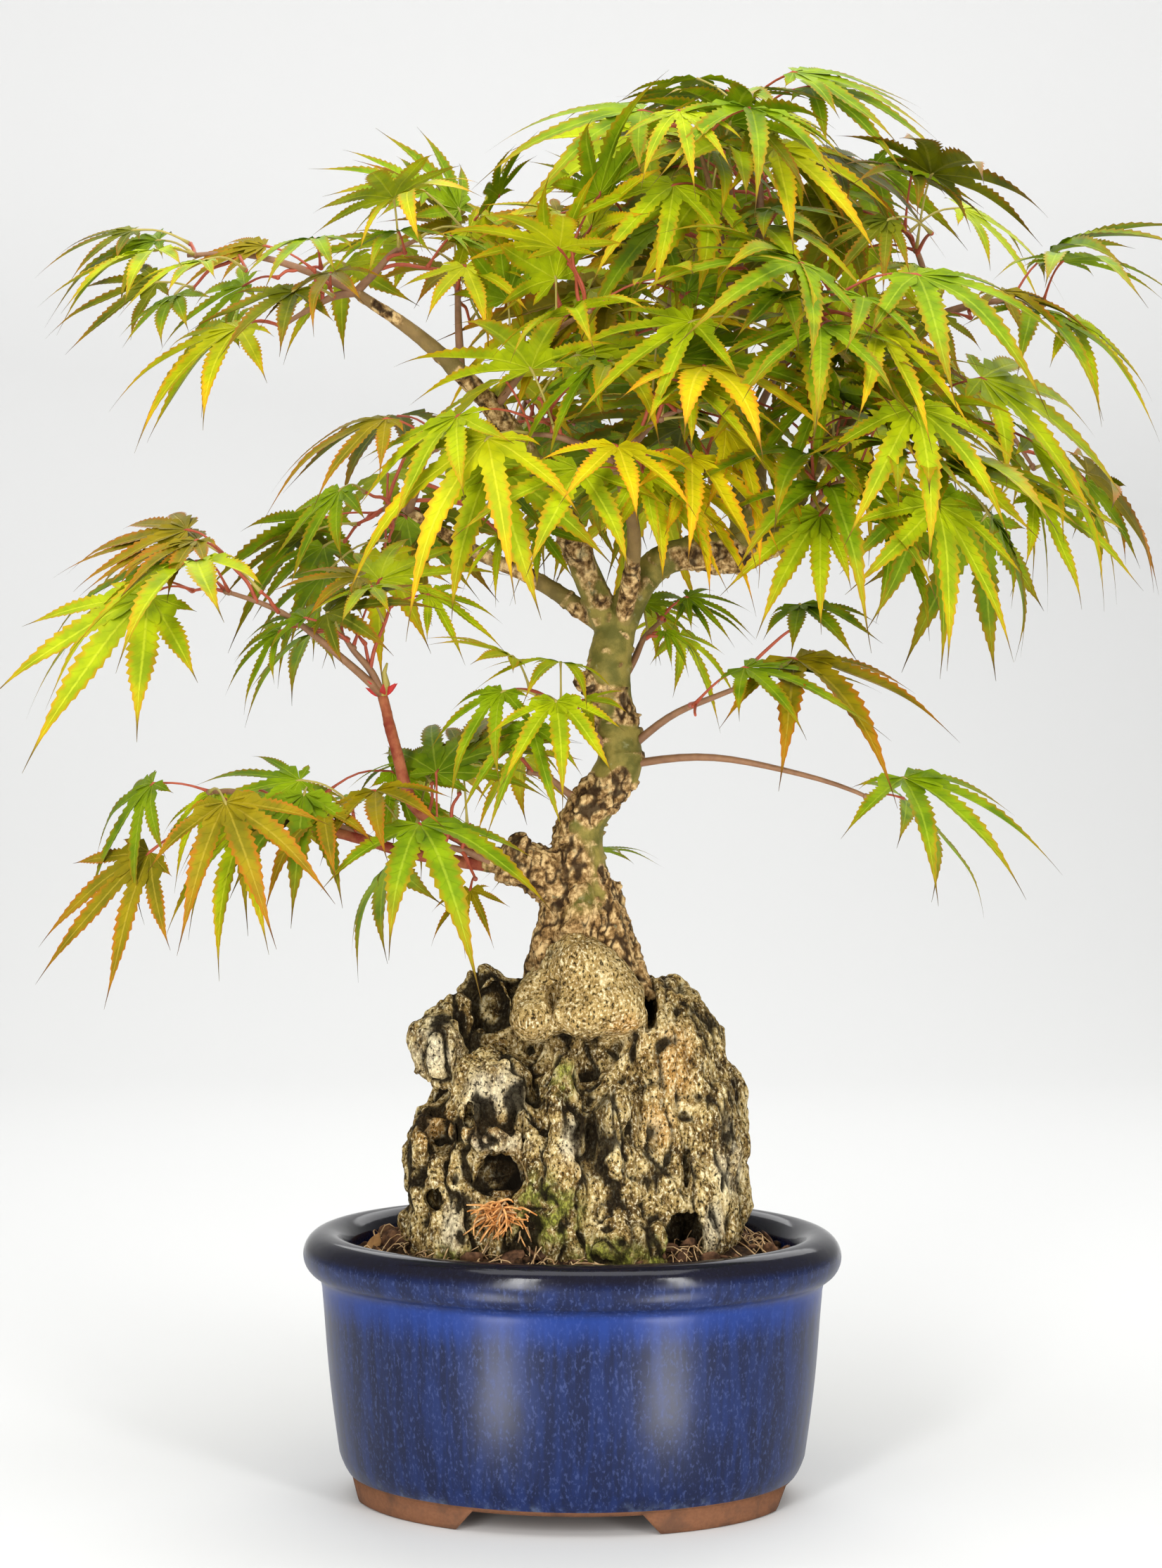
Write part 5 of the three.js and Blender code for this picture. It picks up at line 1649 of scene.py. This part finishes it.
def stem(heap, stem_at, radii, grown, pick, random):
    """A twig with a small swelling at each pair of stalks."""
    wander = np.array([next(random) - 0.5, next(random) - 0.5, next(random) - 0.5]) * 1.4
    points = []
    for t in np.linspace(0, 1, TWIG_STEPS + 1):
        points.append(stem_at(t) + wander * math.sin(math.pi * t) * math.sin(7 * t))
    heap.put(*tube(points, taper(radii, TWIG_STEPS), 7), pick)
    round_points, faces = ball(2)
    for leaf in grown:
        heap.put(leaf["seat"] + round_points * (radii[1] + SWELLING), faces, pick)


# %% Dressing a mass
def dressed(name, leaf_heap, twig_heap):
    """All twigs, stalks and leaves of one mass."""
    random = seeded(MASSES[name][5] + 3000)
    shades = TURNED.get(name, USUAL)
    main_stem = plant[name][0]
    stem(twig_heap, main_stem, MAIN_TWIG, solid_leaves[name], BROWN, random)
    sprays = [(main_stem, solid_leaves[name])] + finer[name]
    for spray, (twig_at, grown) in enumerate(sprays):
        if spray:
            stem(twig_heap, twig_at, FINE_TWIG, grown, RED, random)
        for leaf in grown:
            shade = shades[int(next(random) * len(shades)) % len(shades)]
            corners = leaf_points(leaf, random)
            leaf_heap.put(corners, LEAF_FACES, SHADES.index(shade), LEAF_PLACES)
            petiole(twig_heap, leaf, random)


# %% Finishes of the twigs
def twiggy(name, dark, light):
    """A thin twig's finish."""
    twig = Finish(name, {"Specular IOR Level": 0.35})
    grain = twig.noise(2.2, 3)
    twig.feed("Base Color", twig.mix(grain, dark, light))
    twig.feed("Roughness", 0.45 + grain * 0.2)
    return twig.material


# the same order as BROWN, RED, GREEN and CRIMSON
TWIG_FINISHES = [
    twiggy("young brown twig", (0.16, 0.07, 0.035), (0.36, 0.19, 0.09)),
    twiggy("red stalk", (0.3, 0.035, 0.02), (0.5, 0.12, 0.05)),
    twiggy("green stalk", (0.32, 0.24, 0.05), (0.5, 0.42, 0.1)),
    twiggy("crimson shoot", (0.4, 0.012, 0.015), (0.6, 0.04, 0.03)),
]

# %% All masses dressed
twig_heap = Heap()
leaf_heaps = [Heap(), Heap()]
for number, name in enumerate(MASSES):
    dressed(name, leaf_heaps[number % 2], twig_heap)

# %% [markdown]
# ## Red bracts at the fork
# Where the long young shoot forks it has kept a ruff of small red bracts, and beside them the
# pale dead end of last year's tip.

# %% Bracts and the dead tip
FORK = np.array([-55.0, -14.0, 238.0])


def bract(heap, way, long, wide):
    """A small pointed blade that stands out from the fork."""
    way = unit(np.array(way, float))
    across = unit(np.cross(way, (0.1, 1.0, 0.2)))
    rows = []
    for t in np.linspace(0, 1, 6):
        half = wide * math.sin(math.pi * min(0.25 + 0.75 * t, 1)) + 0.03
        middle = FORK + way * long * t + UPWARD * long * 0.18 * t * t
        rows += [middle - across * half, middle + [0, -0.25, 0], middle + across * half]
    heap.put(rows, woven(len(rows) // 3, 3, closed=False), CRIMSON)


for number in range(7):
    angle = number * 0.9 + 0.3
    way = math.cos(angle), math.sin(angle) * 0.8, 0.55 - 0.3 * (number % 2)
    bract(twig_heap, way, 5.2 + number % 3, 0.95)
dead_tip = [FORK, FORK + [1.2, -0.5, 3.4], FORK + [0.6, -1, 6.6], FORK + [1.5, -1, 9.4]]
twig_heap.put(*tube(dead_tip, [1.5, 1.1, 0.7, 0.3], 8), GREEN)

twigs = heap_piece("twigs and stalks", twig_heap, TWIG_FINISHES)
leaves = [heap_piece(f"leaves {n + 1}", heap, LEAF_FINISHES) for n, heap in enumerate(leaf_heaps)]
for piece in (twigs, *leaves):
    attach(piece, BODY)
names = list(MASSES)
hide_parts(*names)
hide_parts(*names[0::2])
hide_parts(*names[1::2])

# %% [markdown]
# ## Fibres in the cave
# A tuft of brown fibres, old moss and roots, hangs out of the cave low on the left of the rock.
# Hair would suit it, but it is kept as short bent tubes in one mesh, which every tool can read.

# %% Tuft of fibres
TUFT, FIBRES = np.array([-20.0, -27.0, 89.0]), 95
amber_fibre = earthy("amber fibre", (0.45, 0.16, 0.03), (0.95, 0.52, 0.2), 2.0)


def tuft():
    """Loose bent fibres that fan out of the cave onto the soil."""
    heap = Heap()
    random = seeded(91)
    for _ in range(FIBRES):
        spread = [9 * (next(random) - 0.5), -5 * next(random), 4 * (next(random) - 0.5)]
        run = np.array([18 * (next(random) - 0.5), -4 - 6 * next(random), 4 - 11 * next(random)])
        bow = np.array([5 * (next(random) - 0.5), -2 * next(random), 3 * next(random)])
        points = []
        for t in np.linspace(0, 1, 6):
            points.append(TUFT + spread + run * t + bow * math.sin(math.pi * t))
        heap.put(*tube(points, np.linspace(0.55, 0.2, 6), 4), 0 if next(random) < 0.75 else 1)
    return heap_piece("brown fibres", heap, [amber_fibre, rootlet])


fibres = tuft()
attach(fibres, BODY)
